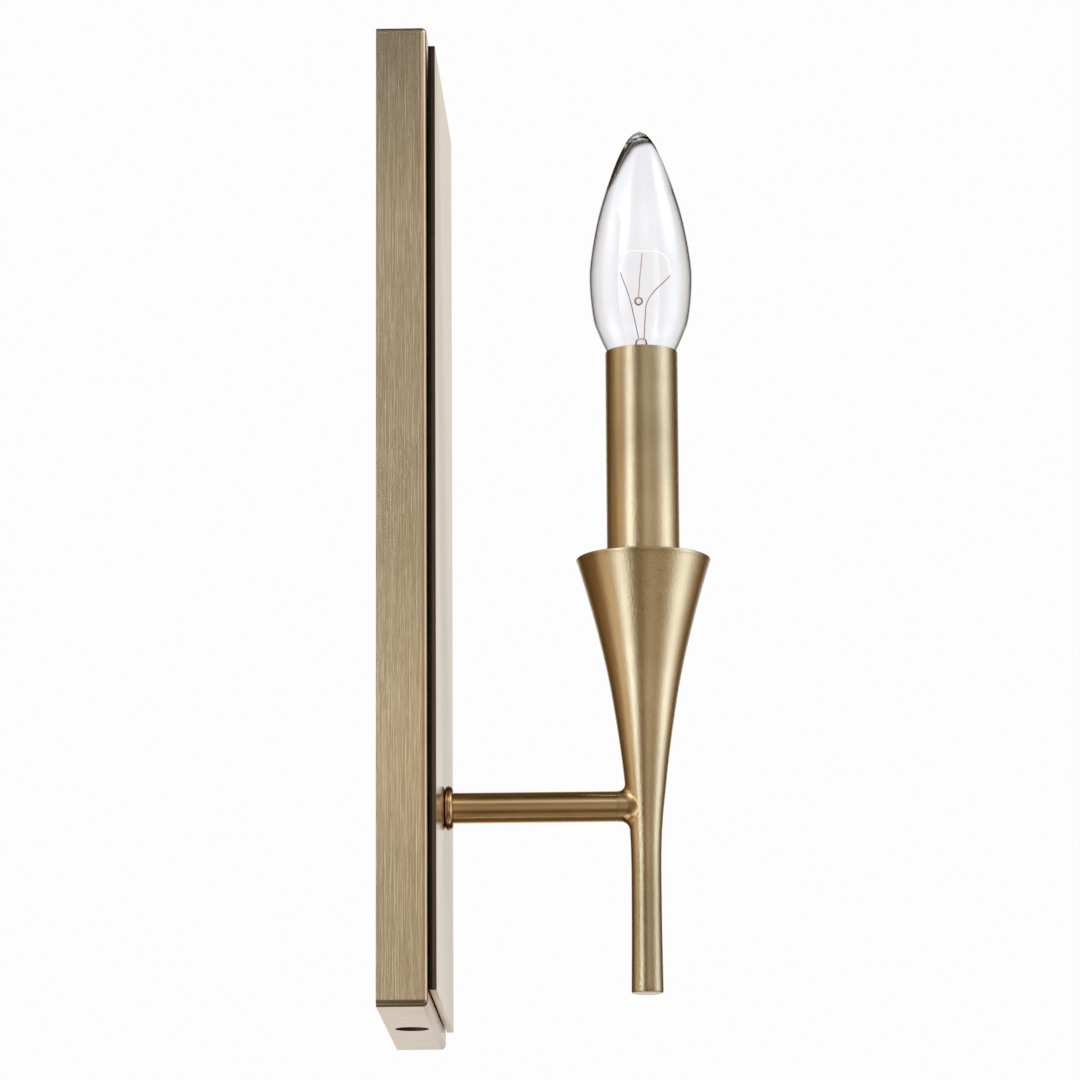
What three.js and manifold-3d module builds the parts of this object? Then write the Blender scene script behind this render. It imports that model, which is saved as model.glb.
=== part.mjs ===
// Electric wall sconce in the form of a candle: a tall wall box with a floating front plate, a straight
// arm, a trumpet cup drawn out into a slim stem, a candle sleeve and a clear flame-shaped bulb.
//
// Millimetres. The wall is the plane Y = 0 and the sconce stands out towards -Y. +Z is up, X is across.
// The origin is the middle of the mounting strap's wall face, which is also the middle of the wall box.
import * as THREE from "three";
import { mergeVertices } from "three/addons/utils/BufferGeometryUtils.js";
import Module from "manifold-3d";

const wasm = await Module();
wasm.setup();

// ---- Driving dimensions --------------------------------------------------------------------------------
const GAP = 0.05; // between pieces that touch
const FINE = 36; // sides of the large turned pieces
const MEDIUM = 24; // sides of the middling ones
const COARSE = 16; // sides of screws and wires' fittings

const pan = { width: 114.3, height: 298.5, depth: 15.2, sheet: 1.2, cornerRadius: 1.4, frontRadius: 1.1 };
const accessHole = { radius: 5.2, fromWall: 7.6 };
const plate = { width: 108.3, height: 288.3, thickness: 2.1, standOff: 0.4, cornerRadius: 0.6 };
const stud = { radius: 1.95, length: 5.6, across: 40, up: 120 };
const studNut = { acrossFlats: 7, thickness: 3 };

const armHeight = -81.8;
const arm = { radius: 4.7, bore: 3.2, nippleBore: 4.05, nippleDepth: 10.6 };
const collar = { radius: 6.85, thickness: 2.55, bore: 4.15 };
const nipple = { radius: 3.95, bore: 2.9, insideEnd: -6, outsideEnd: -30 };

const candleFromWall = 79; // axis of the stem, the sleeve and the bulb
const cup = { rimTop: -5, wall: 0.9, floor: -50, stemFoot: -139.1, wireway: 2.6 };
const stub = { length: 8.6, flare: 2.5, spigot: 3.15, spigotLength: 5 }; // short branch the arm is brazed to
const sleeve = { radius: 11.22, wall: 0.47, foot: -35.6, top: 60.4 };
const liner = { radius: 10.6, wall: 0.35, foot: -33, top: 50 };
const holder = { radius: 9.6, foot: 20, top: 49.6, bore: 6.45, floor: 30.5, flat: 7.4 };
const bulb = { capRadius: 5.85, capWall: 0.35, capFoot: 36.8, capTop: 52.6, glassWall: 0.8, foot: 33.9 };
const strap = { width: 28, thickness: 2, end: 119, slotCentre: 44.45 };
const lock = { radius: 1.95, tip: -115.5, washerTop: -124.55 };

// ---- Finishes ------------------------------------------------------------------------------------------
const finish = (colour, roughness, metalness, more = {}) =>
  new THREE.MeshStandardMaterial({ color: colour, roughness, metalness, ...more });
const naturalBrass = finish(0xb39a6b, 0.36, 1);
const plainBrass = finish(0xc9a95c, 0.35, 1);
const zincSteel = finish(0xb8bbbd, 0.4, 1);
const greenSteel = finish(0x2f7d4a, 0.4, 0.8);
const phenolic = finish(0x1b1714, 0.5, 0);
const fibre = finish(0xd8cfae, 0.8, 0);
const nylon = finish(0xe9e6dc, 0.5, 0);
const clearGlass = finish(0xf4f8fa, 0.03, 0, { transparent: true, opacity: 0.3 });
const nickelWire = finish(0x9c8f80, 0.35, 1);
const tungsten = finish(0x6d655c, 0.5, 1);
const solder = finish(0xb9bcc0, 0.3, 1);

// ---- Making and joining solids -------------------------------------------------------------------------
function solidOf(geometry) {
  const bare = geometry.clone();
  bare.deleteAttribute("normal");
  bare.deleteAttribute("uv");
  const merged = mergeVertices(bare, 1e-4);
  const triVerts = new Uint32Array(merged.index.array);
  const vertProperties = merged.attributes.position.array;
  return new wasm.Manifold(new wasm.Mesh({ numProp: 3, vertProperties, triVerts }));
}

function geometryOf(solid) {
  const mesh = solid.getMesh();
  const geometry = new THREE.BufferGeometry();
  geometry.setAttribute("position", new THREE.BufferAttribute(new Float32Array(mesh.vertProperties), 3));
  geometry.setIndex(new THREE.BufferAttribute(new Uint32Array(mesh.triVerts), 1));
  geometry.computeVertexNormals();
  return geometry;
}

function join(...geometries) {
  return geometryOf(geometries.map(solidOf).reduce((whole, next) => whole.add(next)));
}

function cut(geometry, ...tools) {
  return geometryOf(tools.map(solidOf).reduce((whole, next) => whole.subtract(next), solidOf(geometry)));
}

// A block between two opposite corners.
function block([x0, y0, z0], [x1, y1, z1]) {
  const geometry = new THREE.BoxGeometry(Math.abs(x1 - x0), Math.abs(y1 - y0), Math.abs(z1 - z0));
  return geometry.translate((x0 + x1) / 2, (y0 + y1) / 2, (z0 + z1) / 2);
}

// Turned about the Z axis. The outline runs [radius, height] anticlockwise: bottom, outside, top, inside.
function turned(outline, sides) {
  const points = outline.map(([radius, height]) => new THREE.Vector2(radius, height));
  return new THREE.LatheGeometry(points, sides).rotateX(Math.PI / 2);
}

// A turned piece whose axis points out from the wall, so its heights are distances from the wall.
function turnedOutwards(outline, sides) {
  return turned(outline, sides).rotateX(Math.PI / 2);
}

const ring = (inner, outer, low, high) => [
  [inner, low],
  [outer, low],
  [outer, high],
  [inner, high],
  [inner, low],
];
const rod = (radius, low, high) => [
  [0, low],
  [radius, low],
  [radius, high],
  [0, high],
];

function hexagon(acrossFlats, bore, low, high) {
  const outside = turned(rod(acrossFlats / Math.sqrt(3), low, high), 6);
  return cut(outside, turned(rod(bore, low - 1, high + 1), COARSE));
}

// A flat outline in the plane across X, pushed through a width centred on X = 0.
// The outline runs [distance from the wall, height].
function folded(outline, width) {
  const shape = new THREE.Shape(outline.map(([out, up]) => new THREE.Vector2(-out, up)));
  const geometry = new THREE.ExtrudeGeometry(shape, { depth: width, bevelEnabled: false });
  return geometry.translate(0, 0, -width / 2).applyMatrix4(
    new THREE.Matrix4().makeBasis(
      new THREE.Vector3(0, 1, 0),
      new THREE.Vector3(0, 0, 1),
      new THREE.Vector3(1, 0, 0),
    ),
  );
}

function roundedRectangle(width, height, radius) {
  const [right, top] = [width / 2, height / 2];
  const shape = new THREE.Shape();
  shape.absarc(right - radius, top - radius, radius, 0, Math.PI / 2);
  shape.absarc(radius - right, top - radius, radius, Math.PI / 2, Math.PI);
  shape.absarc(radius - right, radius - top, radius, Math.PI, 1.5 * Math.PI);
  shape.absarc(right - radius, radius - top, radius, 1.5 * Math.PI, 2 * Math.PI);
  return shape;
}

// A wire or rod of round section along a smooth curve through the points.
function wire(points, radius, steps) {
  const path = new THREE.CatmullRomCurve3(points.map((point) => new THREE.Vector3(...point)));
  const halfSides = 3; // a circle is drawn with twice this many sides
  const section = new THREE.Shape();
  section.absarc(0, 0, radius, 0, 2 * Math.PI);
  return new THREE.ExtrudeGeometry(section, { steps, extrudePath: path, curveSegments: halfSides });
}

function screwWithCross(headRadius, headHeight, shankRadius, shankLength) {
  const outline = [
    [0, -headHeight],
    [headRadius * 0.72, -headHeight],
    [headRadius, -headHeight * 0.55],
    [headRadius, 0],
    [shankRadius, 0],
    [shankRadius, shankLength - 0.5],
    [shankRadius - 0.5, shankLength],
    [0, shankLength],
  ];
  const halfSlot = 0.45;
  const reach = headRadius * 0.55;
  return cut(
    turned(outline, COARSE),
    block([-reach, -halfSlot, -headHeight - 1], [reach, halfSlot, -headHeight * 0.45]),
    block([-halfSlot, -reach, -headHeight - 1], [halfSlot, reach, -headHeight * 0.45]),
  );
}

// ---- Wall box and front plate --------------------------------------------------------------------------
function wallBox() {
  const { width, height, depth, sheet, cornerRadius, frontRadius } = pan;
  const outline = roundedRectangle(width - 2 * frontRadius, height - 2 * frontRadius, cornerRadius - 0.9);
  const outside = new THREE.ExtrudeGeometry(outline, {
    depth: depth,
    curveSegments: 2,
    bevelThickness: frontRadius,
    bevelSize: frontRadius,
    bevelSegments: 2,
  });
  outside.translate(0, 0, -frontRadius).rotateX(Math.PI / 2); // its far end is now the front, at -depth
  const [right, top] = [width / 2 - sheet, height / 2 - sheet];
  const hollow = block([-right, 1, -top], [right, sheet - depth, top]);
  const behindWall = block([-width, 0, -height], [width, 5, height]);
  const nippleHole = turnedOutwards(rod(4.2, depth - 4, depth + 2), COARSE).translate(0, 0, armHeight);
  const access = turned(rod(accessHole.radius, -height / 2 - 2, -height / 2 + 4), MEDIUM);
  access.translate(0, -accessHole.fromWall, 0);
  const studHoles = studPlaces().map(([x, z]) =>
    turnedOutwards(rod(stud.radius + 0.3, depth - 4, depth + 2), COARSE).translate(x, 0, z),
  );
  return cut(outside, behindWall, hollow, nippleHole, access, ...studHoles);
}

function studPlaces() {
  const { across, up } = stud;
  return [
    [-across, up],
    [across, up],
    [-across, -up],
    [across, -up],
  ];
}

const plateBack = pan.depth + plate.standOff;
const plateFront = plateBack + plate.thickness;

// The plate carries four studs welded to its back, which pass through the wall box.
function frontPlate() {
  const outline = roundedRectangle(plate.width, plate.height, plate.cornerRadius);
  const sheet = new THREE.ExtrudeGeometry(outline, {
    depth: plate.thickness,
    curveSegments: 2,
    bevelEnabled: false,
  });
  sheet.rotateX(Math.PI / 2).translate(0, -plateBack, 0);
  const studs = studPlaces().map(([x, z]) =>
    turnedOutwards(rod(stud.radius, plateBack - stud.length, plateBack + 0.5), COARSE).translate(x, 0, z),
  );
  const nippleHole = turnedOutwards(rod(4.2, plateBack - 2, plateFront + 2), COARSE);
  return cut(join(sheet, ...studs), nippleHole.translate(0, 0, armHeight));
}

function studNutAt([x, z]) {
  const front = pan.depth - pan.sheet - 2 * GAP;
  const nut = hexagon(studNut.acrossFlats, stud.radius + 0.1, front - studNut.thickness, front);
  return nut.rotateX(Math.PI / 2).translate(x, 0, z);
}

// ---- Mounting strap and the brackets it holds ----------------------------------------------------------
const innerFront = pan.depth - pan.sheet - GAP; // distance from the wall of the box's inner face

// A flat bar on the wall with a hook at its top and a tapped tab at its bottom.
function mountingStrap() {
  const { width, thickness, end, slotCentre } = strap;
  const bar = block([-width / 2, 0, -end], [width / 2, -thickness, end]);
  const hook = folded(
    [
      [0, end - 2],
      [8.5, end - 2],
      [8.5, end + 8],
      [6.5, end + 8],
      [6.5, end],
      [0, end],
    ],
    20,
  );
  const tab = block([-10, 0, -end], [10, -13, -end - thickness]);
  const slots = [slotCentre, -slotCentre].map((z) => block([-2.3, 1, z - 6], [2.3, -5, z + 6]));
  const wireWindow = turnedOutwards(rod(8, -2, 5), MEDIUM).translate(0, 0, armHeight);
  const groundHole = turnedOutwards(rod(2.4, -2, 5), COARSE).translate(0, 0, 20);
  const lockHole = turned(rod(2.1, -end - 4, -end + 0.5), COARSE).translate(0, -accessHole.fromWall, 0);
  return cut(join(bar, hook, tab), ...slots, wireWindow, groundHole, lockHole);
}

// Welded inside the box near its top, with a lip that hangs behind the strap's hook.
function hangerBracket() {
  const shelf = strap.end + 8.1;
  return folded(
    [
      [innerFront, shelf - 8],
      [innerFront, shelf + 1.5],
      [4.4, shelf + 1.5],
      [4.4, shelf - 7],
      [5.9, shelf - 7],
      [5.9, shelf],
      [innerFront - 1.5, shelf],
      [innerFront - 1.5, shelf - 8],
    ],
    26,
  );
}

// Welded inside the box near its bottom: the lock screw draws its shelf up to the strap's tab.
function lockBracket() {
  const shelf = -strap.end - strap.thickness - 2;
  const angle = folded(
    [
      [innerFront, shelf],
      [2.5, shelf],
      [2.5, shelf - 1.5],
      [innerFront - 1.5, shelf - 1.5],
      [innerFront - 1.5, shelf - 12],
      [innerFront, shelf - 12],
    ],
    22,
  );
  return cut(angle, turned(rod(2.4, shelf - 3, shelf + 1), COARSE).translate(0, -accessHole.fromWall, 0));
}

function lockWasher() {
  return turned(ring(2.2, 4.2, lock.washerTop - 0.9, lock.washerTop), MEDIUM);
}

function lockScrew() {
  const seat = lock.washerTop - 0.9 - GAP;
  return screwWithCross(3.5, 2.6, lock.radius, lock.tip - seat).translate(0, 0, seat);
}

function groundScrew() {
  const screw = screwWithCross(4.2, 2.2, 2.3, strap.thickness - 0.15);
  return screw.rotateX(-Math.PI / 2).translate(0, -strap.thickness - GAP, 20);
}

// ---- Arm and the nipple that holds it ------------------------------------------------------------------
function armNipple() {
  return turnedOutwards(ring(nipple.bore, nipple.radius, -nipple.insideEnd, -nipple.outsideEnd), MEDIUM);
}

function boxWasher() {
  return turnedOutwards(ring(4.15, 7.5, innerFront - 1 - GAP, innerFront - GAP), MEDIUM);
}

// A star washer: a ring with teeth standing out from its rim.
function toothedWasher() {
  const far = innerFront - 1 - 3 * GAP;
  const near = far - 0.65;
  const teeth = Array.from({ length: 8 }, (_, index) =>
    block([5.2, -near, -0.7], [6.9, -far, 0.7]).rotateY((index * Math.PI) / 4),
  );
  return join(turnedOutwards(ring(4.15, 5.6, near, far), MEDIUM), ...teeth);
}

function nippleNut() {
  const far = innerFront - 1.65 - 4 * GAP;
  return hexagon(12, nipple.radius + 0.1, far - 3, far).rotateX(Math.PI / 2);
}

function nippleBushing() {
  const end = -nipple.insideEnd - GAP;
  return turnedOutwards(
    [
      [2.2, end - 1.3],
      [4.7, end - 1.3],
      [4.7, end],
      [nipple.bore - GAP, end],
      [nipple.bore - GAP, end + 6],
      [2.2, end + 6],
      [2.2, end - 1.3],
    ],
    MEDIUM,
  );
}

// A bead ring that seats the arm on the front plate.
function armCollar() {
  const back = plateFront + GAP;
  const front = back + collar.thickness;
  const half = collar.thickness / 2;
  const bead = [-60, -30, 0, 30, 60].map((degrees) => {
    const angle = THREE.MathUtils.degToRad(degrees);
    return [collar.radius - half + half * Math.cos(angle), back + half + half * Math.sin(angle)];
  });
  const neck = collar.radius - half;
  return turnedOutwards(
    [[collar.bore, back], [neck, back], ...bead, [neck, front], [collar.bore, front], [collar.bore, back]],
    MEDIUM,
  );
}

const armStart = plateFront + collar.thickness + 2 * GAP;
const armEnd = candleFromWall - stub.length - GAP;

function armTube() {
  const step = armStart + arm.nippleDepth;
  return turnedOutwards(
    [
      [arm.nippleBore, armStart],
      [arm.radius, armStart],
      [arm.radius, armEnd],
      [arm.bore, armEnd],
      [arm.bore, step],
      [arm.nippleBore, step],
      [arm.nippleBore, armStart],
    ],
    MEDIUM,
  );
}

// ---- Trumpet cup and stem ------------------------------------------------------------------------------
// [radius, height] of the outside, from the foot of the stem up to the rim.
const trumpet = new THREE.SplineCurve(
  [
    [4.88, -138.8],
    [4.66, -120],
    [4.6, -101],
    [4.82, -91.6],
    [5.35, -84],
    [6.2, -76.2],
    [7.36, -66],
    [8.98, -54.6],
    [11.1, -42.1],
    [13.85, -29.7],
    [17.1, -17.2],
    [20.7, cup.rimTop],
  ].map(([radius, height]) => new THREE.Vector2(radius, height)),
);

// The same curve moved inwards by the wall, for the part of it above the cup's floor.
function insideOfCup() {
  const inside = [];
  for (const step of Array(10).keys()) {
    const here = trumpet.getPoint(1 - step / 22);
    if (here.y > cup.floor + 1) inside.push([here.x - cup.wall, here.y]);
  }
  return inside;
}

function stemAndCup() {
  const outside = trumpet.getPoints(18).map(({ x, y }) => [x, y]);
  const inside = insideOfCup();
  const floorRadius = inside.at(-1)[0] - 0.25;
  const body = turned(
    [
      [0, cup.stemFoot],
      [4.55, cup.stemFoot],
      ...outside,
      ...inside,
      [floorRadius, cup.floor],
      [4.05, cup.floor],
      [4.05, cup.floor - 8],
      [cup.wireway, cup.floor - 8],
      [cup.wireway, armHeight - 3.5],
      [0, armHeight - 3.5],
    ],
    FINE,
  );
  const branch = turnedOutwards(
    [
      [0, 0],
      [arm.radius + stub.flare, 0],
      [arm.radius + stub.flare, 3.6],
      ...[25, 50, 75].map((degrees) => {
        const angle = THREE.MathUtils.degToRad(degrees);
        const [reach, drop] = [stub.flare * (1 - Math.sin(angle)), stub.flare * Math.cos(angle)];
        return [arm.radius + reach, 6.6 - drop * 1.1];
      }),
      [arm.radius, 7],
      [arm.radius, stub.length],
      [stub.spigot, stub.length],
      [stub.spigot, stub.length + stub.spigotLength],
      [0, stub.length + stub.spigotLength],
    ],
    MEDIUM,
  );
  const keep = block([-30, 1.5, -12], [30, 40, 12]);
  const branchOnly = geometryOf(solidOf(branch.rotateX(Math.PI)).intersect(solidOf(keep)));
  const armway = turnedOutwards(rod(cup.wireway, 0, 20), COARSE).rotateX(Math.PI);
  return cut(join(body, branchOnly.translate(0, 0, armHeight)), armway.translate(0, 0, armHeight));
}

// ---- Lampholder and what carries it --------------------------------------------------------------------
function holderNipple() {
  return turned(ring(nipple.bore, nipple.radius, cup.floor - 7.5, cup.floor + 6.2), MEDIUM);
}

const bracketFoot = cup.floor + GAP;

// One strip of steel folded into a C: its foot sits on the cup's floor and its top carries the lampholder.
function holderBracket() {
  const top = holder.foot - GAP;
  const strip = 1.2;
  const outline = [
    [-5.4, bracketFoot],
    [7.4, bracketFoot],
    [7.4, top],
    [-4.5, top],
    [-4.5, top - strip],
    [6.2, top - strip],
    [6.2, bracketFoot + strip],
    [-5.4, bracketFoot + strip],
  ];
  const shape = new THREE.Shape(outline.map(([x, z]) => new THREE.Vector2(x, z)));
  const bent = new THREE.ExtrudeGeometry(shape, { depth: 9, bevelEnabled: false });
  bent.translate(0, 0, -4.5).rotateX(Math.PI / 2);
  const nippleHole = turned(rod(4.1, bracketFoot - 1, bracketFoot + 2), COARSE);
  return cut(bent, nippleHole, turned(rod(1.6, top - 3, top + 1), COARSE));
}

function bracketNut() {
  const low = bracketFoot + 1.2 + GAP;
  return hexagon(11, nipple.radius + 0.1, low, low + 3.2);
}

function holderScrew() {
  return screwWithCross(2.8, 1.8, 1.45, 7).translate(0, 0, holder.foot - 1.2 - 2 * GAP);
}

const terminalHeight = 26;

function holderBody() {
  const { radius, foot, top, bore, floor, flat } = holder;
  const body = turned(
    [
      [0, foot],
      [radius - 0.6, foot],
      [radius, foot + 0.6],
      [radius, top - 0.8],
      [radius - 0.8, top],
      [bore, top],
      [bore, floor],
      [0, floor],
    ],
    MEDIUM,
  );
  const flats = [1, -1].map((side) => block([-12, side * flat, foot + 2], [12, side * 14, floor + 1]));
  const terminalHoles = turnedOutwards(rod(1.35, -20, 20), COARSE);
  const screwHole = turned(rod(1.6, foot - 1, foot + 6.5), COARSE);
  return cut(body, ...flats, blindEnds(terminalHoles.translate(0, 0, terminalHeight)), screwHole);
}

// The terminals' screw holes are blind: only the outer ends of a through hole are taken.
function blindEnds(hole) {
  return cut(hole, block([-3, -4, terminalHeight - 3], [3, 4, terminalHeight + 3]));
}

function terminalScrew(side) {
  const screw = screwWithCross(2.2, 1.3, 1.2, 2.8).rotateX((side * Math.PI) / 2);
  return screw.translate(0, side * (holder.flat + GAP), terminalHeight);
}

function threadedShell() {
  return turned(ring(6.05, 6.4, 35.5, 49.2), FINE);
}

// A springy tongue riveted to the holder's floor, pressed down here by the foot of the bulb.
function centreContact() {
  const strip = 0.4;
  const low = holder.floor + GAP;
  const shape = new THREE.Shape(
    [
      [-4.6, low],
      [-1.6, low],
      [1.2, 33.3],
      [3.4, 32.6],
      [3.4, 32.6 + strip],
      [1.1, 33.3 + strip],
      [-1.8, low + strip],
      [-4.6, low + strip],
    ].map(([x, z]) => new THREE.Vector2(x, z)),
  );
  const tongue = new THREE.ExtrudeGeometry(shape, { depth: 4, bevelEnabled: false });
  return tongue.translate(0, 0, -2).rotateX(Math.PI / 2);
}

function fibreLiner() {
  return turned(ring(liner.radius - liner.wall, liner.radius, liner.foot, liner.top), FINE);
}

function candleSleeve() {
  return turned(ring(sleeve.radius - sleeve.wall, sleeve.radius, sleeve.foot, sleeve.top), FINE);
}

// ---- Bulb ----------------------------------------------------------------------------------------------
// [radius, height] of the glass, from the neck inside the cap up to the tip.
const flame = new THREE.SplineCurve(
  [
    [5.15, 48.6],
    [5.3, 51.5],
    [6.9, 54.8],
    [10.2, 60],
    [13.18, 66.4],
    [14.95, 72.1],
    [15.95, 82.5],
    [15.4, 91.4],
    [12.85, 104.9],
    [8.5, 118.5],
    [5.2, 126.2],
    [2.7, 130],
    [0.01, 131.7],
  ].map(([radius, height]) => new THREE.Vector2(radius, height)),
);

function bulbGlass() {
  const outside = flame.getPoints(18).map(({ x, y }) => [x, y]);
  const inside = outside
    .filter(([radius]) => radius > 3)
    .map(([radius, height]) => [radius - bulb.glassWall, height])
    .reverse();
  const top = 128.6;
  return turned([...outside.slice(0, -1), [0, 131.7], [0, top], ...inside, outside[0]], FINE);
}

function bulbCap() {
  const { capRadius, capWall, capFoot, capTop } = bulb;
  return turned(
    [
      [4.6, capFoot],
      [5.3, capFoot],
      [capRadius, capFoot + 0.8],
      [capRadius, 49.9],
      [6.7, 50.4],
      [6.7, capTop],
      [6.35, capTop],
      [6.35, 51],
      [capRadius - capWall, 50.3],
      [capRadius - capWall, capFoot + 1],
      [4.6, capFoot + 0.5],
      [4.6, capFoot],
    ],
    MEDIUM,
  );
}

function bulbInsulator() {
  return turned(
    [
      [0, bulb.foot + 1 + GAP],
      [2.5, bulb.foot + 1 + GAP],
      [4.5, bulb.capFoot - 0.4],
      [4.5, bulb.capFoot + 0.6],
      [0, bulb.capFoot + 0.6],
    ],
    MEDIUM,
  );
}

function bulbFootContact() {
  return turned(
    [
      [0, bulb.foot],
      [1.2, bulb.foot + 0.15],
      [2.2, bulb.foot + 0.6],
      [2.4, bulb.foot + 1],
      [0, bulb.foot + 1],
    ],
    MEDIUM,
  );
}

// The glass foot inside the neck: a flare below, a tube, and a pinched top that holds the lead wires.
function bulbMount() {
  return turned(
    [
      [1, 49.4],
      [4, 49.4],
      [3.5, 51],
      [2.2, 55],
      [1.9, 60],
      [1.9, 64],
      [1.5, 65],
      [0, 65],
      [0, 60],
      [1, 60],
      [1, 49.4],
    ],
    COARSE,
  );
}

// Wires inside the bulb are placed by [across X, away from the wall, height] from the bulb's axis.
const wirePoint = ([x, out, height]) => [x, -out, height];
const leadEnds = { wallSide: [-2, -6.2, 85.6], roomSide: [2, 9.2, 85.6] };
const leads = {
  wallSide: [[-0.5, -0.8, 65.1], [-0.9, -2.4, 73], [-1.2, -3.3, 77], leadEnds.wallSide],
  roomSide: [[0.5, 0.9, 65.1], [0.8, 1.4, 73], [0.9, 2, 77], leadEnds.roomSide],
};

function bulbLead(side) {
  return wire(leads[side].map(wirePoint), 0.22, 9);
}

function bulbBead() {
  return new THREE.SphereGeometry(1.35, 12, 8).rotateX(Math.PI / 2).translate(0, 0.7, 77);
}

function filamentSupport() {
  return wire([[0, -0.7, 78.5], [0, -0.2, 85], [0.2, 0.6, 92.4]].map(wirePoint), 0.14, 5);
}

function filament() {
  const arch = [
    [leadEnds.wallSide[0], leadEnds.wallSide[1], 86.2],
    [-1.4, -4.2, 92.4],
    [0.2, 0.6, 93.2],
    [1.4, 5.8, 93],
    [leadEnds.roomSide[0], leadEnds.roomSide[1], 86.2],
  ];
  return wire(arch.map(wirePoint), 0.35, 16);
}

// ---- Assembly ------------------------------------------------------------------------------------------
const sconce = new THREE.Group();
const onArmAxis = new THREE.Group();
onArmAxis.position.set(0, 0, armHeight);
const onLockAxis = new THREE.Group();
onLockAxis.position.set(0, -accessHole.fromWall, 0);
const onCandleAxis = new THREE.Group();
onCandleAxis.position.set(0, -candleFromWall, 0);
sconce.add(onArmAxis, onLockAxis, onCandleAxis);

function place(group, name, geometry, material) {
  const mesh = new THREE.Mesh(geometry, material);
  mesh.name = name;
  group.add(mesh);
}

place(sconce, "wall_box", wallBox(), naturalBrass);
place(sconce, "front_plate", frontPlate(), naturalBrass);
studPlaces().forEach((spot, index) => {
  place(sconce, `plate_nut_${index + 1}`, studNutAt(spot), zincSteel);
});
place(sconce, "mounting_strap", mountingStrap(), zincSteel);
place(sconce, "hanger_bracket", hangerBracket(), zincSteel);
place(sconce, "lock_bracket", lockBracket(), zincSteel);
place(sconce, "ground_screw", groundScrew(), greenSteel);
place(onLockAxis, "lock_washer", lockWasher(), zincSteel);
place(onLockAxis, "lock_screw", lockScrew(), zincSteel);

place(onArmAxis, "arm_nipple", armNipple(), plainBrass);
place(onArmAxis, "box_washer", boxWasher(), zincSteel);
place(onArmAxis, "toothed_washer", toothedWasher(), zincSteel);
place(onArmAxis, "nipple_nut", nippleNut(), zincSteel);
place(onArmAxis, "nipple_bushing", nippleBushing(), nylon);
place(onArmAxis, "arm_collar", armCollar(), naturalBrass);
place(onArmAxis, "arm_tube", armTube(), naturalBrass);

place(onCandleAxis, "stem_and_cup", stemAndCup(), naturalBrass);
place(onCandleAxis, "holder_nipple", holderNipple(), plainBrass);
place(onCandleAxis, "holder_bracket", holderBracket(), zincSteel);
place(onCandleAxis, "bracket_nut", bracketNut(), zincSteel);
place(onCandleAxis, "holder_screw", holderScrew(), zincSteel);
place(onCandleAxis, "lampholder_body", holderBody(), phenolic);
place(onCandleAxis, "lampholder_shell", threadedShell(), plainBrass);
place(onCandleAxis, "centre_contact", centreContact(), plainBrass);
place(onCandleAxis, "terminal_screw_live", terminalScrew(1), plainBrass);
place(onCandleAxis, "terminal_screw_neutral", terminalScrew(-1), zincSteel);
place(onCandleAxis, "fibre_liner", fibreLiner(), fibre);
place(onCandleAxis, "candle_sleeve", candleSleeve(), naturalBrass);

place(onCandleAxis, "bulb_glass", bulbGlass(), clearGlass);
place(onCandleAxis, "bulb_cap", bulbCap(), plainBrass);
place(onCandleAxis, "bulb_insulator", bulbInsulator(), phenolic);
place(onCandleAxis, "bulb_foot_contact", bulbFootContact(), solder);
place(onCandleAxis, "bulb_mount", bulbMount(), clearGlass);
place(onCandleAxis, "bulb_bead", bulbBead(), clearGlass);
place(onCandleAxis, "lead_wire_wall_side", bulbLead("wallSide"), nickelWire);
place(onCandleAxis, "lead_wire_room_side", bulbLead("roomSide"), nickelWire);
place(onCandleAxis, "filament_support", filamentSupport(), nickelWire);
place(onCandleAxis, "filament", filament(), tungsten);

export default sconce;
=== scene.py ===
import math

import bmesh
import bpy
from mathutils import Matrix, Vector


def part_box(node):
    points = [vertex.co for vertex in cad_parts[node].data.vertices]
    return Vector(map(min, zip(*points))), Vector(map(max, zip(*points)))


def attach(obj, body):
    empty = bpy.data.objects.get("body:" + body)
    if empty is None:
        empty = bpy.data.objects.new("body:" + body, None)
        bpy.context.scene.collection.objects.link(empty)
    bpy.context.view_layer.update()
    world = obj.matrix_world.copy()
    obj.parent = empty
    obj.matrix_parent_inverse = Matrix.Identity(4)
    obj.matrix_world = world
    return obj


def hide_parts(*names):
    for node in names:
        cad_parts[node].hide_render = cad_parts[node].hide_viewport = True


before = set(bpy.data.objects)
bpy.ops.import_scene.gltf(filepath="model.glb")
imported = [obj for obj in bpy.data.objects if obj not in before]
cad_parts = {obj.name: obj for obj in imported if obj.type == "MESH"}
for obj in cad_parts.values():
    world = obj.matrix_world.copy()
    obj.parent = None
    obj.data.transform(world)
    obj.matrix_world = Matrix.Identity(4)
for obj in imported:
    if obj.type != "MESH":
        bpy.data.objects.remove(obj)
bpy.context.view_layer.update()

MM = 0.001
TURN = 2 * math.pi
# an edge that turns by more than this many degrees is rounded off
SHARP_EDGE = 30
# a flat face larger than this, in square millimetres, is shaded on its own, so that the folds beside it
# don't bend its light
LARGE_FLAT = 150


# ---- Where the pieces stand, in millimetres -------------------------------------------------------------
def corners(node):
    """The two corners of a piece's box."""
    low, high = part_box(node)
    return low / MM, high / MM


def middle(node):
    low, high = corners(node)
    return (low + high) / 2


candle_axis = Vector((middle("candle_sleeve").x, middle("candle_sleeve").y, 0))
arm_axis = Vector((middle("arm_tube").x, 0, middle("arm_tube").z))
lock_axis = Vector((middle("lock_washer").x, middle("lock_washer").y, 0))


# ---- Shaping metal --------------------------------------------------------------------------------------
def arc(centre, radius, start, end, steps):
    """Points of an arc in the outline's plane, from one angle in degrees to another."""
    angles = [math.radians(start + (end - start) * step / steps) for step in range(steps + 1)]
    return [(centre[0] + radius * math.cos(a), centre[1] + radius * math.sin(a)) for a in angles]


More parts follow.
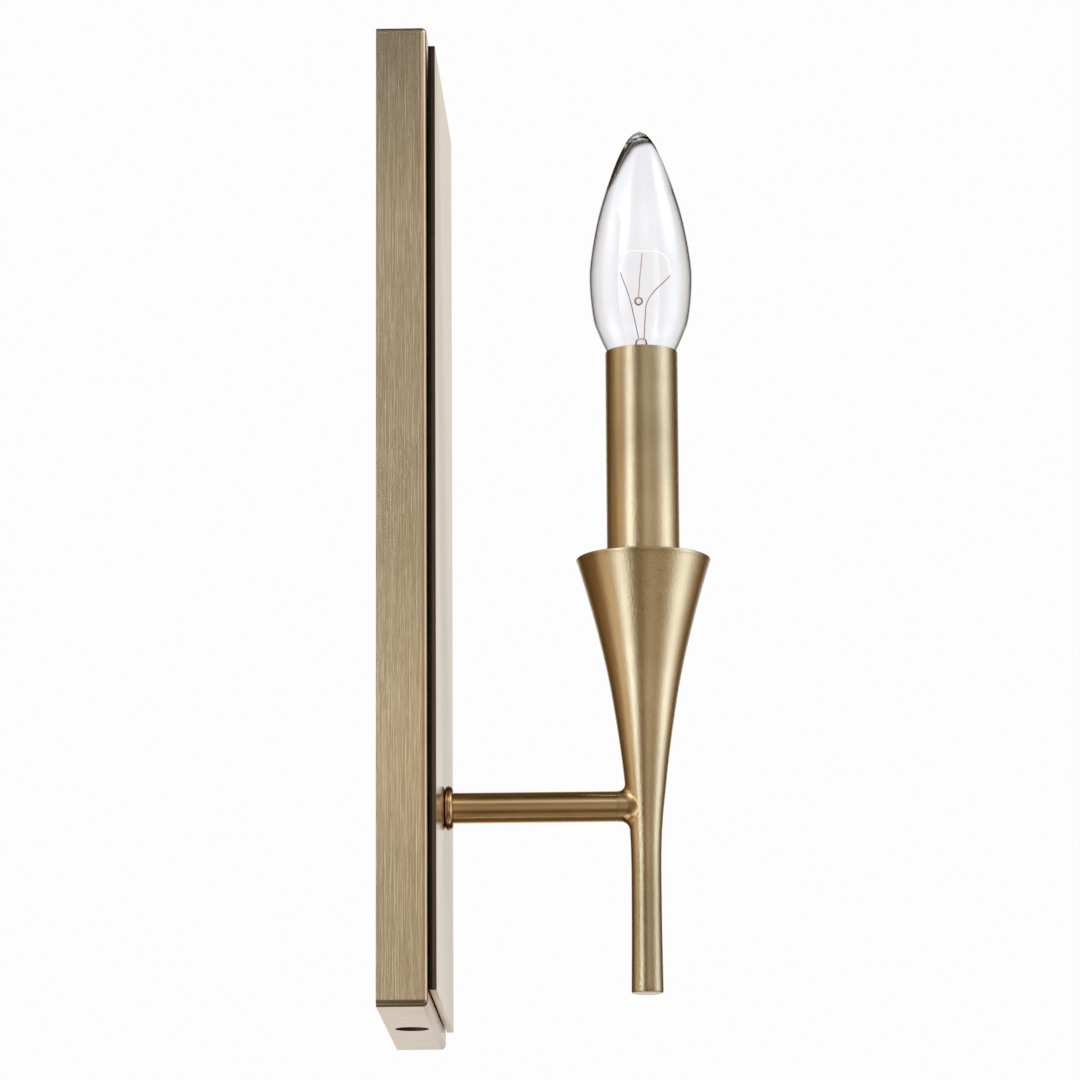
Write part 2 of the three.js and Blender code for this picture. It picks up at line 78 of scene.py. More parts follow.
def curve_through(points, per_span):
    """A smooth outline through the points."""
    ends = [points[0]] + list(points) + [points[-1]]
    smooth = []
    for before, here, after, beyond in zip(ends, ends[1:], ends[2:], ends[3:]):
        p0, p1, p2, p3 = (Vector(p) for p in (before, here, after, beyond))
        for step in range(per_span):
            t = step / per_span
            smooth.append(
                0.5
                * (
                    2 * p1
                    + (p2 - p0) * t
                    + (2 * p0 - 5 * p1 + 4 * p2 - p3) * t * t
                    + (3 * p1 - p0 - 3 * p2 + p3) * t**3
                )
            )
    return [tuple(p) for p in smooth] + [tuple(points[-1])]


def radius_at(outline, height):
    """The radius of a turned outline at a height, or its last radius past its ends."""
    for (r0, z0), (r1, z1) in zip(outline, outline[1:]):
        if z0 <= height <= z1:
            return r0 + (r1 - r0) * (height - z0) / (z1 - z0)
    return outline[-1][0]


def turned(outline, steps=96):
    """Turned about the upright axis from an outline of (radius, height)."""
    bm = bmesh.new()
    verts = [bm.verts.new((radius, 0, height)) for radius, height in outline]
    edges = [bm.edges.new(pair) for pair in zip(verts, verts[1:])]
    bmesh.ops.spin(
        bm, geom=verts + edges, cent=(0, 0, 0), axis=(0, 0, 1), angle=TURN, steps=steps, use_merge=True
    )
    bmesh.ops.remove_doubles(bm, verts=bm.verts, dist=1e-4)
    bmesh.ops.recalc_face_normals(bm, faces=bm.faces)
    return bm


def rod(radius, low, high, steps=48):
    """A solid upright round bar."""
    return turned([(0, low), (radius, low), (radius, high), (0, high)], steps)


def moved(bm, by):
    """The shape, shifted."""
    bmesh.ops.translate(bm, verts=bm.verts, vec=Vector(by))
    return bm


def rolled(bm, degrees, axis):
    """The shape, turned about an axis through the origin."""
    matrix = Matrix.Rotation(math.radians(degrees), 3, axis)
    bmesh.ops.rotate(bm, verts=bm.verts, cent=(0, 0, 0), matrix=matrix)
    return bm


def outwards(bm):
    """Lays an upright turned piece down so that its heights become distances from the wall."""
    return rolled(bm, 90, "X")


def slab(low, high):
    """A box between two corners."""
    bm = bmesh.new()
    low, high = Vector(low), Vector(high)
    matrix = Matrix.Translation((low + high) / 2) @ Matrix.Diagonal(high - low).to_4x4()
    bmesh.ops.create_cube(bm, size=1, matrix=matrix)
    return bm


def pushed(outline, through):
    """A flat outline of 3-D points pushed through a distance."""
    bm = bmesh.new()
    face = bm.faces.new([bm.verts.new(p) for p in outline])
    made = bmesh.ops.extrude_face_region(bm, geom=[face])
    new_verts = [v for v in made["geom"] if isinstance(v, bmesh.types.BMVert)]
    bmesh.ops.translate(bm, verts=new_verts, vec=Vector(through))
    bmesh.ops.recalc_face_normals(bm, faces=bm.faces)
    return bm


def together(*parts):
    """Several closed shapes in one mesh."""
    whole = parts[0]
    for part in parts[1:]:
        mesh = bpy.data.meshes.new("part")
        part.to_mesh(mesh)
        part.free()
        whole.from_mesh(mesh)
        bpy.data.meshes.remove(mesh)
    return whole


def worked(bm, operation, tools):
    """The shape after cutting it with, joining it to or keeping what it shares with each tool in turn."""
    made = []
    for shape in (bm, *tools):
        mesh = bpy.data.meshes.new("work")
        shape.to_mesh(mesh)
        shape.free()
        piece = bpy.data.objects.new("work", mesh)
        bpy.context.scene.collection.objects.link(piece)
        made.append(piece)
    for tool in made[1:]:
        step = made[0].modifiers.new("step", "BOOLEAN")
        step.operation, step.solver, step.object = operation, "EXACT", tool
    bpy.context.view_layer.update()
    result = bmesh.new()
    result.from_mesh(made[0].evaluated_get(bpy.context.evaluated_depsgraph_get()).to_mesh())
    for piece in made:
        bpy.data.meshes.remove(piece.data)
    return result


def cut(bm, *tools):
    return worked(bm, "DIFFERENCE", tools)


def joined(bm, *tools):
    return worked(bm, "UNION", tools)


def softened(bm, width, segments=2, chosen=None):
    """Rounds the sharp edges, or only those that the chosen test picks."""
    bmesh.ops.dissolve_limit(
        bm, angle_limit=math.radians(0.5), verts=bm.verts, edges=bm.edges, delimit={"NORMAL"}
    )
    edges = [
        e
        for e in bm.edges
        if len(e.link_faces) == 2
        and e.calc_face_angle() > math.radians(SHARP_EDGE)
        and (chosen is None or chosen(e))
    ]
    bmesh.ops.bevel(
        bm,
        geom=edges,
        offset=width,
        offset_type="OFFSET",
        segments=segments,
        profile=0.5,
        affect="EDGES",
        clamp_overlap=True,
        material=-1,
    )
    return bm


def finished(bm, name, finish, body, slot, *stands_for, sharp=38):
    """Turns a shape in millimetres into a named piece that rides on a body.

    Edges that turn by more than the sharp angle, in degrees, stay crisp.
    """
    name = name.replace(" ", "_") + "_as_made"
    bmesh.ops.scale(bm, vec=(MM, MM, MM), verts=bm.verts)
    bmesh.ops.recalc_face_normals(bm, faces=bm.faces)
    mesh = bpy.data.meshes.new(name)
    bm.to_mesh(mesh)
    bm.free()
    for face in mesh.polygons:
        face.use_smooth = True
    mesh.set_sharp_from_angle(angle=math.radians(sharp))
    for face in mesh.polygons:
        if face.area > LARGE_FLAT * MM * MM and max(abs(part) for part in face.normal) > 0.9999:
            face.use_smooth = False
    for material in finish if isinstance(finish, list) else [finish]:
        mesh.materials.append(material)
    piece = bpy.data.objects.new(name, mesh)
    bpy.context.scene.collection.objects.link(piece)
    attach(piece, body)
    if stands_for:
        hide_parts(*stands_for)
    return piece


def helix(radius, pitch, low, high, height, width=None, steps=28):
    """A screw thread's ridge: a wedge wound round the upright axis from one height to another."""
    width = width or pitch * 0.42
    crest = width * 0.22
    bm = bmesh.new()
    sunk = radius - 0.12
    wedge = [
        (sunk, 0, low - width), (radius + height, 0, low - crest), (radius + height, 0, low + crest),
        (sunk, 0, low + width),
    ]
    face = bm.faces.new([bm.verts.new(p) for p in wedge])
    turns = (high - low) / pitch
    count = max(int(turns * steps), 2)
    rise = (0, 0, (high - low) / count)
    bmesh.ops.spin(
        bm, geom=[face], cent=(0, 0, 0), axis=(0, 0, 1), angle=turns * TURN, steps=count, dvec=rise
    )
    return bm


def hexagon_nut(across_flats, bore, low, high):
    """A hexagon nut with turned chamfers and a bore."""
    corner = across_flats / math.sqrt(3)
    rise = 0.3 * (corner - across_flats / 2)
    flat = across_flats / 2 - 0.1
    blank = rod(corner, low, high, 6)
    lens = [
        (0, low), (flat, low), (corner + 0.2, low + rise * 2.4), (corner + 0.2, high - rise * 2.4),
        (flat, high), (0, high),
    ]
    nut = worked(blank, "INTERSECT", [turned(lens, 64)])
    return cut(nut, rod(bore, low - 1, high + 1))


def cross_head_screw(head, head_height, shank, length, pitch):
    """A pan-head screw with its head below zero and its shank rising from zero."""
    core, chamfer = shank * 0.84, 0.12
    dome = [
        (0, -head_height), (head * 0.45, -head_height * 0.985), (head * 0.72, -head_height * 0.88),
        (head * 0.9, -head_height * 0.66), (head, -head_height * 0.35), (head, -chamfer),
        (head - chamfer, 0), (core, 0), (core, length - 0.5), (shank * 0.5, length), (0, length),
    ]
    reach, half_slot, recess = head * 0.55, 0.4, head_height * 0.42
    cross = [
        slab((-reach, -half_slot, -head_height - 1), (reach, half_slot, -recess)),
        slab((-half_slot, -reach, -head_height - 1), (half_slot, reach, -recess)),
    ]
    screw = cut(turned(dome, 48), *cross)
    ridge = helix(core, pitch, pitch * 0.5, length - pitch * 0.75, shank * 0.16 - 0.03)
    return together(screw, ridge)


def wire_along(points, radius, resolution=8, sides=3):
    """A round wire along a smooth curve through points in millimetres."""
    curve = bpy.data.curves.new("wire", "CURVE")
    curve.dimensions = "3D"
    curve.bevel_depth, curve.bevel_resolution, curve.use_fill_caps = radius, sides, True
    curve.resolution_u = resolution
    spline = curve.splines.new("BEZIER")
    spline.bezier_points.add(len(points) - 1)
    for knot, point in zip(spline.bezier_points, points):
        knot.co = point
        knot.handle_left_type = knot.handle_right_type = "AUTO"
    holder = bpy.data.objects.new("wire", curve)
    bpy.context.scene.collection.objects.link(holder)
    bpy.context.view_layer.update()
    bm = bmesh.new()
    bm.from_mesh(holder.evaluated_get(bpy.context.evaluated_depsgraph_get()).to_mesh())
    bpy.data.objects.remove(holder)
    bpy.data.curves.remove(curve)
    bmesh.ops.remove_doubles(bm, verts=bm.verts, dist=1e-4)
    return bm


# ---- Finishes -------------------------------------------------------------------------------------------
def node(tree, kind, place, **settings):
    """A node at a place in the editor, with its settings."""
    made = tree.nodes.new(kind)
    made.location = place
    for name, value in settings.items():
        setattr(made, name, value)
    return made


def noise(tree, place, scale, detail, roughness):
    made = node(tree, "ShaderNodeTexNoise", place)
    made.inputs["Scale"].default_value = scale
    made.inputs["Detail"].default_value = detail
    made.inputs["Roughness"].default_value = roughness
    return made


def make_grain_group():
    """Fine drawn lines and broad patches: Run stretches the lines, and both outputs run from 0 to 1."""
    tree = bpy.data.node_groups.new("grain", "ShaderNodeTree")
    tree.interface.new_socket("Position", in_out="INPUT", socket_type="NodeSocketVector")
    tree.interface.new_socket("Run", in_out="INPUT", socket_type="NodeSocketVector")
    tree.interface.new_socket("Lines", in_out="OUTPUT", socket_type="NodeSocketFloat")
    tree.interface.new_socket("Patches", in_out="OUTPUT", socket_type="NodeSocketFloat")
    start = node(tree, "NodeGroupInput", (-700, 0))
    end = node(tree, "NodeGroupOutput", (500, 0))
    stretch = node(tree, "ShaderNodeVectorMath", (-450, 100), operation="MULTIPLY")
    lines = noise(tree, (-220, 120), 1.0, 4.0, 0.62)
    patches = noise(tree, (-220, -160), 38.0, 3.0, 0.5)
    firmer = node(tree, "ShaderNodeMapRange", (50, 120))
    firmer.inputs["From Min"].default_value = 0.3
    firmer.inputs["From Max"].default_value = 0.7
    wider = node(tree, "ShaderNodeMapRange", (50, -160))
    wider.inputs["From Min"].default_value = 0.32
    wider.inputs["From Max"].default_value = 0.68
    tree.links.new(start.outputs["Position"], stretch.inputs[0])
    tree.links.new(start.outputs["Run"], stretch.inputs[1])
    tree.links.new(stretch.outputs["Vector"], lines.inputs["Vector"])
    tree.links.new(start.outputs["Position"], patches.inputs["Vector"])
    tree.links.new(lines.outputs["Fac"], firmer.inputs["Value"])
    tree.links.new(patches.outputs["Fac"], wider.inputs["Value"])
    tree.links.new(firmer.outputs["Result"], end.inputs["Lines"])
    tree.links.new(wider.outputs["Result"], end.inputs["Patches"])
    return tree


def make_rubbed_group():
    """Mask of the edges that handling has rubbed bright."""
    tree = bpy.data.node_groups.new("rubbed_edges", "ShaderNodeTree")
    tree.interface.new_socket("Edges", in_out="OUTPUT", socket_type="NodeSocketFloat")
    end = node(tree, "NodeGroupOutput", (300, 0))
    shape = node(tree, "ShaderNodeNewGeometry", (-300, 0))
    level = node(tree, "ShaderNodeMapRange", (0, 0))
    level.inputs["From Min"].default_value = 0.53
    level.inputs["From Max"].default_value = 0.62
    tree.links.new(shape.outputs["Pointiness"], level.inputs["Value"])
    tree.links.new(level.outputs["Result"], end.inputs["Edges"])
    return tree


def make_dust_group():
    """Mask of the thin dust that settles on upward faces."""
    tree = bpy.data.node_groups.new("settled_dust", "ShaderNodeTree")
    tree.interface.new_socket("Position", in_out="INPUT", socket_type="NodeSocketVector")
    tree.interface.new_socket("Dust", in_out="OUTPUT", socket_type="NodeSocketFloat")
    start = node(tree, "NodeGroupInput", (-700, -200))
    end = node(tree, "NodeGroupOutput", (500, 0))
    shape = node(tree, "ShaderNodeNewGeometry", (-700, 100))
    parts = node(tree, "ShaderNodeSeparateXYZ", (-480, 100))
    upward = node(tree, "ShaderNodeMapRange", (-250, 100))
    upward.inputs["From Min"].default_value = 0.6
    specks = noise(tree, (-480, -200), 900.0, 4.0, 0.7)
    both = node(tree, "ShaderNodeMath", (150, 0), operation="MULTIPLY")
    tree.links.new(shape.outputs["Normal"], parts.inputs["Vector"])
    tree.links.new(parts.outputs["Z"], upward.inputs["Value"])
    tree.links.new(start.outputs["Position"], specks.inputs["Vector"])
    tree.links.new(upward.outputs["Result"], both.inputs[0])
    tree.links.new(specks.outputs["Fac"], both.inputs[1])
    tree.links.new(both.outputs["Value"], end.inputs["Dust"])
    return tree


grain_group, rubbed_group, dust_group = make_grain_group(), make_rubbed_group(), make_dust_group()


def mixed(tree, place, factor, first, second):
    """A colour that goes from the first to the second; each may be a socket or a plain colour."""
    made = node(tree, "ShaderNodeMix", place, data_type="RGBA")
    tree.links.new(factor, made.inputs["Factor"])
    for name, colour in (("A", first), ("B", second)):
        socket = next(s for s in made.inputs if s.name == name and s.type == "RGBA")
        if isinstance(colour, bpy.types.NodeSocket):
            tree.links.new(colour, socket)
        else:
            socket.default_value = (*colour, 1)
    return next(s for s in made.outputs if s.type == "RGBA")


def scaled(tree, place, value, low, high):
    """A value from 0 to 1 moved to run from low to high."""
    made = node(tree, "ShaderNodeMapRange", place)
    made.inputs["To Min"].default_value = low
    made.inputs["To Max"].default_value = high
    tree.links.new(value, made.inputs["Value"])
    return made.outputs["Result"]


DUST = (0.6, 0.58, 0.55)


def surface(
    name, dark, light, edge, run, roughness, metallic, bump=0.08, depth=0.00004, dust=0.04, coat=0.0,
    line_share=0.45,
):
    """A finish with drawn grain, patches, rubbed edges and a little dust.

    The run stretches the grain, roughness goes from its first value to its second along the grain, and the
    line share says how much of the colour's change is grain and how much is patches.
    """
    material = bpy.data.materials.new(name)
    material.use_nodes = True
    tree = material.node_tree
    shader = tree.nodes["Principled BSDF"]
    shader.inputs["Metallic"].default_value = metallic
    shader.inputs["Coat Weight"].default_value = coat
    place = node(tree, "ShaderNodeTexCoord", (-1300, 0))
    grain = node(tree, "ShaderNodeGroup", (-1050, 100), node_tree=grain_group)
    grain.inputs["Run"].default_value = run
    rubbed = node(tree, "ShaderNodeGroup", (-1050, -100), node_tree=rubbed_group)
    settled = node(tree, "ShaderNodeGroup", (-1050, -250), node_tree=dust_group)
    tree.links.new(place.outputs["Object"], grain.inputs["Position"])
    tree.links.new(place.outputs["Object"], settled.inputs["Position"])
    blend = node(tree, "ShaderNodeMath", (-820, 200), operation="MULTIPLY_ADD")
    blend.inputs[1].default_value = line_share
    tree.links.new(grain.outputs["Lines"], blend.inputs[0])
    tree.links.new(scaled(tree, (-820, 0), grain.outputs["Patches"], 0, 1 - line_share), blend.inputs[2])
    body = mixed(tree, (-600, 250), blend.outputs["Value"], dark, light)
    wear = scaled(tree, (-600, 0), rubbed.outputs["Edges"], 0, 0.6)
    worn = mixed(tree, (-400, 250), wear, body, edge)
    film = scaled(tree, (-400, -50), settled.outputs["Dust"], 0, dust)
    tree.links.new(mixed(tree, (-200, 250), film, worn, DUST), shader.inputs["Base Color"])
    polish = scaled(tree, (-200, -100), grain.outputs["Lines"], *roughness)
    tree.links.new(polish, shader.inputs["Roughness"])
    relief = node(tree, "ShaderNodeBump", (-200, -350))
    relief.inputs["Strength"].default_value = bump
    relief.inputs["Distance"].default_value = depth
    tree.links.new(grain.outputs["Lines"], relief.inputs["Height"])
    tree.links.new(relief.outputs["Normal"], shader.inputs["Normal"])
    return material


RUBBED_BRASS = (0.92, 0.78, 0.55)


def brass(name, run, roughness, bump, dark, light, **more):
    """Solid brass, with its edges rubbed pale."""
    return surface(name, dark, light, RUBBED_BRASS, run, roughness, 1.0, bump=bump, **more)


def shade_ramp(tree, place, stops, span, brightest):
    """A ramp of greys over a span of angles or heights whose middle is zero."""
    ramp = node(tree, "ShaderNodeValToRGB", place)
    colours = ramp.color_ramp
    while len(colours.elements) > 1:
        colours.elements.remove(colours.elements[-1])
    for index, (at, value) in enumerate(stops):
        where = at / span + 0.5
        stop = colours.elements[0] if index == 0 else colours.elements.new(where)
        stop.position = where
        level = value / brightest
        stop.color = (level, level, level, 1)
    return ramp


def painted_shade_along_height(material, stops):
    """Deepens or lightens a finish along its height with painted light and shade: (height in mm, share)."""
    tree = material.node_tree
    shader = tree.nodes["Principled BSDF"]
    low, high = stops[0][0], stops[-1][0]
    centred = [(height - (low + high) / 2, share) for height, share in stops]
    place = node(tree, "ShaderNodeTexCoord", (-900, 600))
    parts = node(tree, "ShaderNodeSeparateXYZ", (-720, 600))
    level = node(tree, "ShaderNodeMapRange", (-540, 600))
    level.inputs["From Min"].default_value, level.inputs["From Max"].default_value = low * MM, high * MM
    ramp = shade_ramp(tree, (-360, 600), centred, high - low, 1)
    times = node(tree, "ShaderNodeMix", (-60, 500), data_type="RGBA", blend_type="MULTIPLY")
    times.inputs["Factor"].default_value = 1
    colours = [socket for socket in times.inputs if socket.type == "RGBA"]
    was = shader.inputs["Base Color"].links[0].from_socket
    tree.links.new(place.outputs["Object"], parts.inputs["Vector"])
    tree.links.new(parts.outputs["Z"], level.inputs["Value"])
    tree.links.new(level.outputs["Result"], ramp.inputs["Fac"])
    tree.links.new(was, colours[0])
    tree.links.new(ramp.outputs["Color"], colours[1])
    tree.links.new(next(out for out in times.outputs if out.type == "RGBA"), shader.inputs["Base Color"])
    return material


# the box's brass carries painted light and shade along its height, darkest at the top
brushed_brass = painted_shade_along_height(
    brass(
        "brass brushed along its height", (2300, 2300, 36), (0.38, 0.46), 0.75, (0.80, 0.57, 0.325),
        (1.0, 0.775, 0.485), line_share=0.85, depth=0.00009,
    ),
    [(-150, 0.86), (-105, 0.9), (-84, 1.0), (-62, 0.99), (-38, 0.89), (-8, 0.78), (60, 0.76), (90, 0.74),
     (114, 0.62), (150, 0.45)],
)
folded_brass = brass(
    "brass rubbed along the folds", (900, 900, 60), (0.26, 0.34), 0.2, (0.64, 0.465, 0.27),
    (0.78, 0.59, 0.37), line_share=0.5,
)
# a much darker copy of the box's brass for the folds that turn down at its sides: painted shade
shaded_brass = brass(
    "brass with painted shade in the lower fold", (900, 900, 60), (0.32, 0.42), 0.3, (0.24, 0.165, 0.09),
    (0.34, 0.24, 0.14), line_share=0.5,
)
base_brass = brass(
    "brass brushed on the base", (1300, 40, 1300), (0.18, 0.28), 0.2, (0.48, 0.36, 0.25),
    (0.59, 0.46, 0.34), line_share=0.6,
)
face_brass = brass(
    "brass brushed on the plate's face", (1300, 1300, 24), (0.16, 0.25), 0.12, (0.43, 0.295, 0.17),
    (0.56, 0.405, 0.255), line_share=0.6,
)
# the stem, cup and sleeve carry painted light and shade along their height, lightest at the cup
spun_brass = painted_shade_along_height(
    brass(
        "brass with a fine blasted grain", (1600, 1600, 2900), (0.1, 0.17), 0.9, (0.69, 0.51, 0.29),
        (0.95, 0.74, 0.465), depth=0.00005,
    ),
    [(-150, 0.7), (-112, 0.72), (-90, 0.82), (-57, 0.94), (-27, 0.98), (6, 0.96), (20, 0.85), (33, 0.76),
     (52, 0.72)],
)
drawn_brass = brass(
    "brass tube drawn along the arm", (700, 90, 700), (0.13, 0.2), 0.1, (0.80, 0.48, 0.195),
    (0.91, 0.56, 0.25),
)
collar_brass = brass(
    "brass bead ring", (700, 700, 700), (0.14, 0.22), 0.1, (0.60, 0.39, 0.20), (0.72, 0.48, 0.26)
)
buffed_brass = brass(
    "brass buffed at the brazed joint", (420, 420, 420), (0.2, 0.3), 0.12, (0.68, 0.42, 0.185),
    (0.79, 0.50, 0.235),
)
cut_edge = surface(
    "darkened cut edge", (0.02, 0.012, 0.007), (0.10, 0.06, 0.036), (0.26, 0.18, 0.11), (900, 900, 110),
    (0.38, 0.6), 0.85, bump=0.8, line_share=0.85,
)
# near black on the rear of the plate's side edges, towards the box: painted shade
rear_edge_painted_shade = surface(
    "painted shade on the rear of the cut edge", (0.004, 0.003, 0.002), (0.02, 0.012, 0.008), (0.05, 0.03, 0.02),
    (900, 900, 300), (0.6, 0.8), 0.6, bump=0.6, dust=0.0,
)
# nearly black brass for the box's inside and its access hole's wall: painted shade
inside_brass_painted_shade = surface(
    "brass inside, with painted shade", (0.05, 0.032, 0.018), (0.09, 0.058, 0.034), (0.12, 0.08, 0.05), (300, 300, 300),
    (0.55, 0.75), 0.9,
)
plain_brass = surface(
    "plain turned brass", (0.74, 0.53, 0.24), (0.86, 0.65, 0.33), (0.95, 0.8, 0.5), (150, 150, 2500),
    (0.22, 0.36), 1.0,
)
zinc_steel = surface(
    "zinc plated steel", (0.52, 0.53, 0.55), (0.68, 0.69, 0.7), (0.8, 0.8, 0.8), (420, 420, 420),
    (0.28, 0.48), 1.0,
)
dull_zinc = surface(
    "dulled zinc", (0.10, 0.095, 0.085), (0.18, 0.17, 0.155), (0.3, 0.29, 0.27), (420, 420, 420),
    (0.5, 0.7), 0.9,
)
green_steel = surface(
    "green dyed steel", (0.03, 0.22, 0.08), (0.06, 0.34, 0.14), (0.3, 0.45, 0.34), (500, 500, 500),
    (0.3, 0.45), 0.7,
)
phenolic = surface(
    "moulded phenolic", (0.012, 0.010, 0.009), (0.03, 0.024, 0.02), (0.07, 0.06, 0.05), (600, 600, 600),
    (0.35, 0.5), 0.0, coat=0.1,
)
vulcan_fibre = surface(
    "fibre tube", (0.55, 0.49, 0.33), (0.68, 0.62, 0.45), (0.74, 0.7, 0.56), (200, 200, 1400),
    (0.7, 0.9), 0.0, bump=0.4,
)
nylon = surface(
    "nylon", (0.74, 0.72, 0.66), (0.84, 0.82, 0.77), (0.88, 0.87, 0.83), (500, 500, 500), (0.4, 0.5), 0.0
)
lead_wire = surface(
    "copper-clad lead wire", (0.62, 0.30, 0.13), (0.78, 0.44, 0.22), (0.85, 0.6, 0.4), (900, 900, 4000),
    (0.3, 0.42), 1.0, dust=0.0,
)
solder = surface(
    "solder", (0.55, 0.56, 0.58), (0.72, 0.73, 0.75), (0.8, 0.8, 0.82), (400, 400, 400), (0.2, 0.35), 1.0
)


def make_tungsten():
    """Drawn tungsten that glows a little."""
    material = surface(
        "coiled tungsten", (0.20, 0.17, 0.15), (0.34, 0.30, 0.26), (0.4, 0.36, 0.32), (2000, 2000, 2000),
        (0.4, 0.6), 1.0, dust=0.0,
    )
    shader = material.node_tree.nodes["Principled BSDF"]
    shader.inputs["Emission Color"].default_value = (1.0, 0.80, 0.55, 1)
    shader.inputs["Emission Strength"].default_value = 1.6
    return material


def make_glass(name, tint, roughness, bending=1.47):
    """Blown glass: clear, with faint draw lines that vary its polish."""
    material = bpy.data.materials.new(name)
    material.use_nodes = True
    tree = material.node_tree
    shader = tree.nodes["Principled BSDF"]
    shader.inputs["Metallic"].default_value = 0.0
    shader.inputs["Transmission Weight"].default_value = 1.0
    shader.inputs["IOR"].default_value = bending
    place = node(tree, "ShaderNodeTexCoord", (-1000, 0))
    grain = node(tree, "ShaderNodeGroup", (-750, 0), node_tree=grain_group)
    grain.inputs["Run"].default_value = (90, 90, 18)
    tree.links.new(place.outputs["Object"], grain.inputs["Position"])
    paler = tuple(min(1.0, channel + 0.012) for channel in tint)
    colour = mixed(tree, (-450, 150), grain.outputs["Patches"], tint, paler)
    tree.links.new(colour, shader.inputs["Base Color"])
    polish = scaled(tree, (-450, -100), grain.outputs["Lines"], roughness, roughness + 0.02)
    tree.links.new(polish, shader.inputs["Roughness"])
    relief = node(tree, "ShaderNodeBump", (-450, -350))
    relief.inputs["Strength"].default_value = 0.003
    relief.inputs["Distance"].default_value = 0.00005
    tree.links.new(grain.outputs["Lines"], relief.inputs["Height"])
    tree.links.new(relief.outputs["Normal"], shader.inputs["Normal"])
    return material


tungsten = make_tungsten()
clear_glass = make_glass("clear blown glass", (0.965, 0.96, 0.975), 0.0)
pressed_glass = make_glass("pressed glass", (0.98, 0.90, 0.80), 0.03, 1.16)


# ---- Wall box and front plate ---------------------------------------------------------------------------
pan_low, pan_high = corners("wall_box")
plate_low, plate_high = corners("front_plate")
sheet = 1.2
plate_thickness = 2.1
plate_back = plate_low.y + plate_thickness
access_middle, access_radius = lock_axis.y, 5.2
nipple_clearance = 4.2
stud_radius, stud_pitch = 1.7, 0.7
nut_places = [(middle(f"plate_nut_{n}").x, middle(f"plate_nut_{n}").z) for n in (1, 2, 3, 4)]


def upright_hole(radius, at, low, high):
    """A round cutter that stands upright."""
    return moved(rod(radius, low, high, 64), (at[0], at[1], 0))


def wall_hole(radius, at, near, far, steps=48):
    """A round cutter that points out from the wall."""
    return moved(outwards(rod(radius, near, far, steps)), (at[0], 0, at[1]))


def wall_box():
    """A pan of sheet, open to the wall: the finishes follow the faces, the folds and the inside."""
    front, slack = pan_low.y, 0.05
    box = slab(pan_low, pan_high)
    softened(box, 1.9, 5, chosen=lambda e: abs((e.verts[0].co - e.verts[1].co).y) > 1)
    softened(box, 1.5, 6, chosen=lambda e: all(v.co.y < front + 0.01 for v in e.verts))
    inner_low = Vector((pan_low.x + sheet, front + sheet, pan_low.z + sheet))
    inner_high = Vector((pan_high.x - sheet, 3, pan_high.z - sheet))
    hollow = softened(slab(inner_low, inner_high), 0.5, 2)
    nipple_hole = wall_hole(nipple_clearance, (0, arm_axis.z), 10, 20)
    access = upright_hole(access_radius, (0, access_middle), pan_low.z - 2, pan_low.z + 4)
    stud_holes = [wall_hole(2.25, place, 10, 20) for place in nut_places]
    box = cut(box, hollow, nipple_hole, access, *stud_holes)
    finishes = [brushed_brass, inside_brass_painted_shade, folded_brass, base_brass, face_brass, shaded_brass]
    for face in box.faces:
        spot, facing = face.calc_center_median(), face.normal
        within = (
            inner_low.x - slack <= spot.x <= inner_high.x + slack
            and spot.y >= inner_low.y - slack
            and inner_low.z - slack <= spot.z <= inner_high.z + slack
        )
        off_axis = math.hypot(spot.x, spot.y - access_middle)
        in_hole = off_axis < access_radius + 0.1 and spot.z < inner_low.z and abs(facing.z) < 0.5
        finish = brushed_brass
        # the inside of the box and the access hole's wall get painted shade
        if within or in_hole:
            finish = inside_brass_painted_shade
        elif max(abs(part) for part in facing) > 0.995:
            if facing.z < -0.9:
                finish = base_brass
            elif facing.y < -0.9:
                finish = face_brass
        elif facing.z < -0.1:
            # folds that turn down at the sides get painted shade; those at the front take the base's brass
            finish = shaded_brass if abs(facing.x) > 0.1 else base_brass
        elif facing.y < -0.1:
            finish = folded_brass
        face.material_index = finishes.index(finish)
    finished(box, "wall box", finishes, "fixture", "natural_brass", "wall_box")


def front_plate():
    """A cut plate with four studs on its back. The rear of its side edges, towards the box, is painted near
    black as shade.
    """
    plate = slab(plate_low, (plate_high.x, plate_back, plate_high.z))
    softened(plate, 0.6, 3, chosen=lambda e: abs((e.verts[0].co - e.verts[1].co).y) > 1)
    softened(plate, 0.12, 2)
    plate = cut(plate, wall_hole(nipple_clearance, (0, arm_axis.z), 12, 22))
    # the rear part of the side edges, next to the box, gets painted shade
    painted_shade_depth = 0.85
    painted_shade_from = plate_back - painted_shade_depth
    everything = plate.verts[:] + plate.edges[:] + plate.faces[:]
    bmesh.ops.bisect_plane(plate, geom=everything, plane_co=(0, painted_shade_from, 0), plane_no=(0, 1, 0))
    finishes = [face_brass, cut_edge, rear_edge_painted_shade]
    for face in plate.faces:
        if abs(face.normal.x) > 0.6:
            finish = rear_edge_painted_shade if face.calc_center_median().y > painted_shade_from else cut_edge
            face.material_index = finishes.index(finish)
    studs = []
    for x, z in nut_places:
        stud = together(
            rod(stud_radius, -plate_high.y, -plate_back + 0.3, 32),
            helix(stud_radius, stud_pitch, -plate_high.y + 0.5, -plate_back - 0.9, 0.22),
        )
        for face in stud.faces:
            face.material_index = finishes.index(cut_edge)
        studs.append(moved(outwards(stud), (x, 0, z)))
    whole = together(plate, *studs)
    finished(whole, "front plate", finishes, "fixture", "natural_brass", "front_plate")


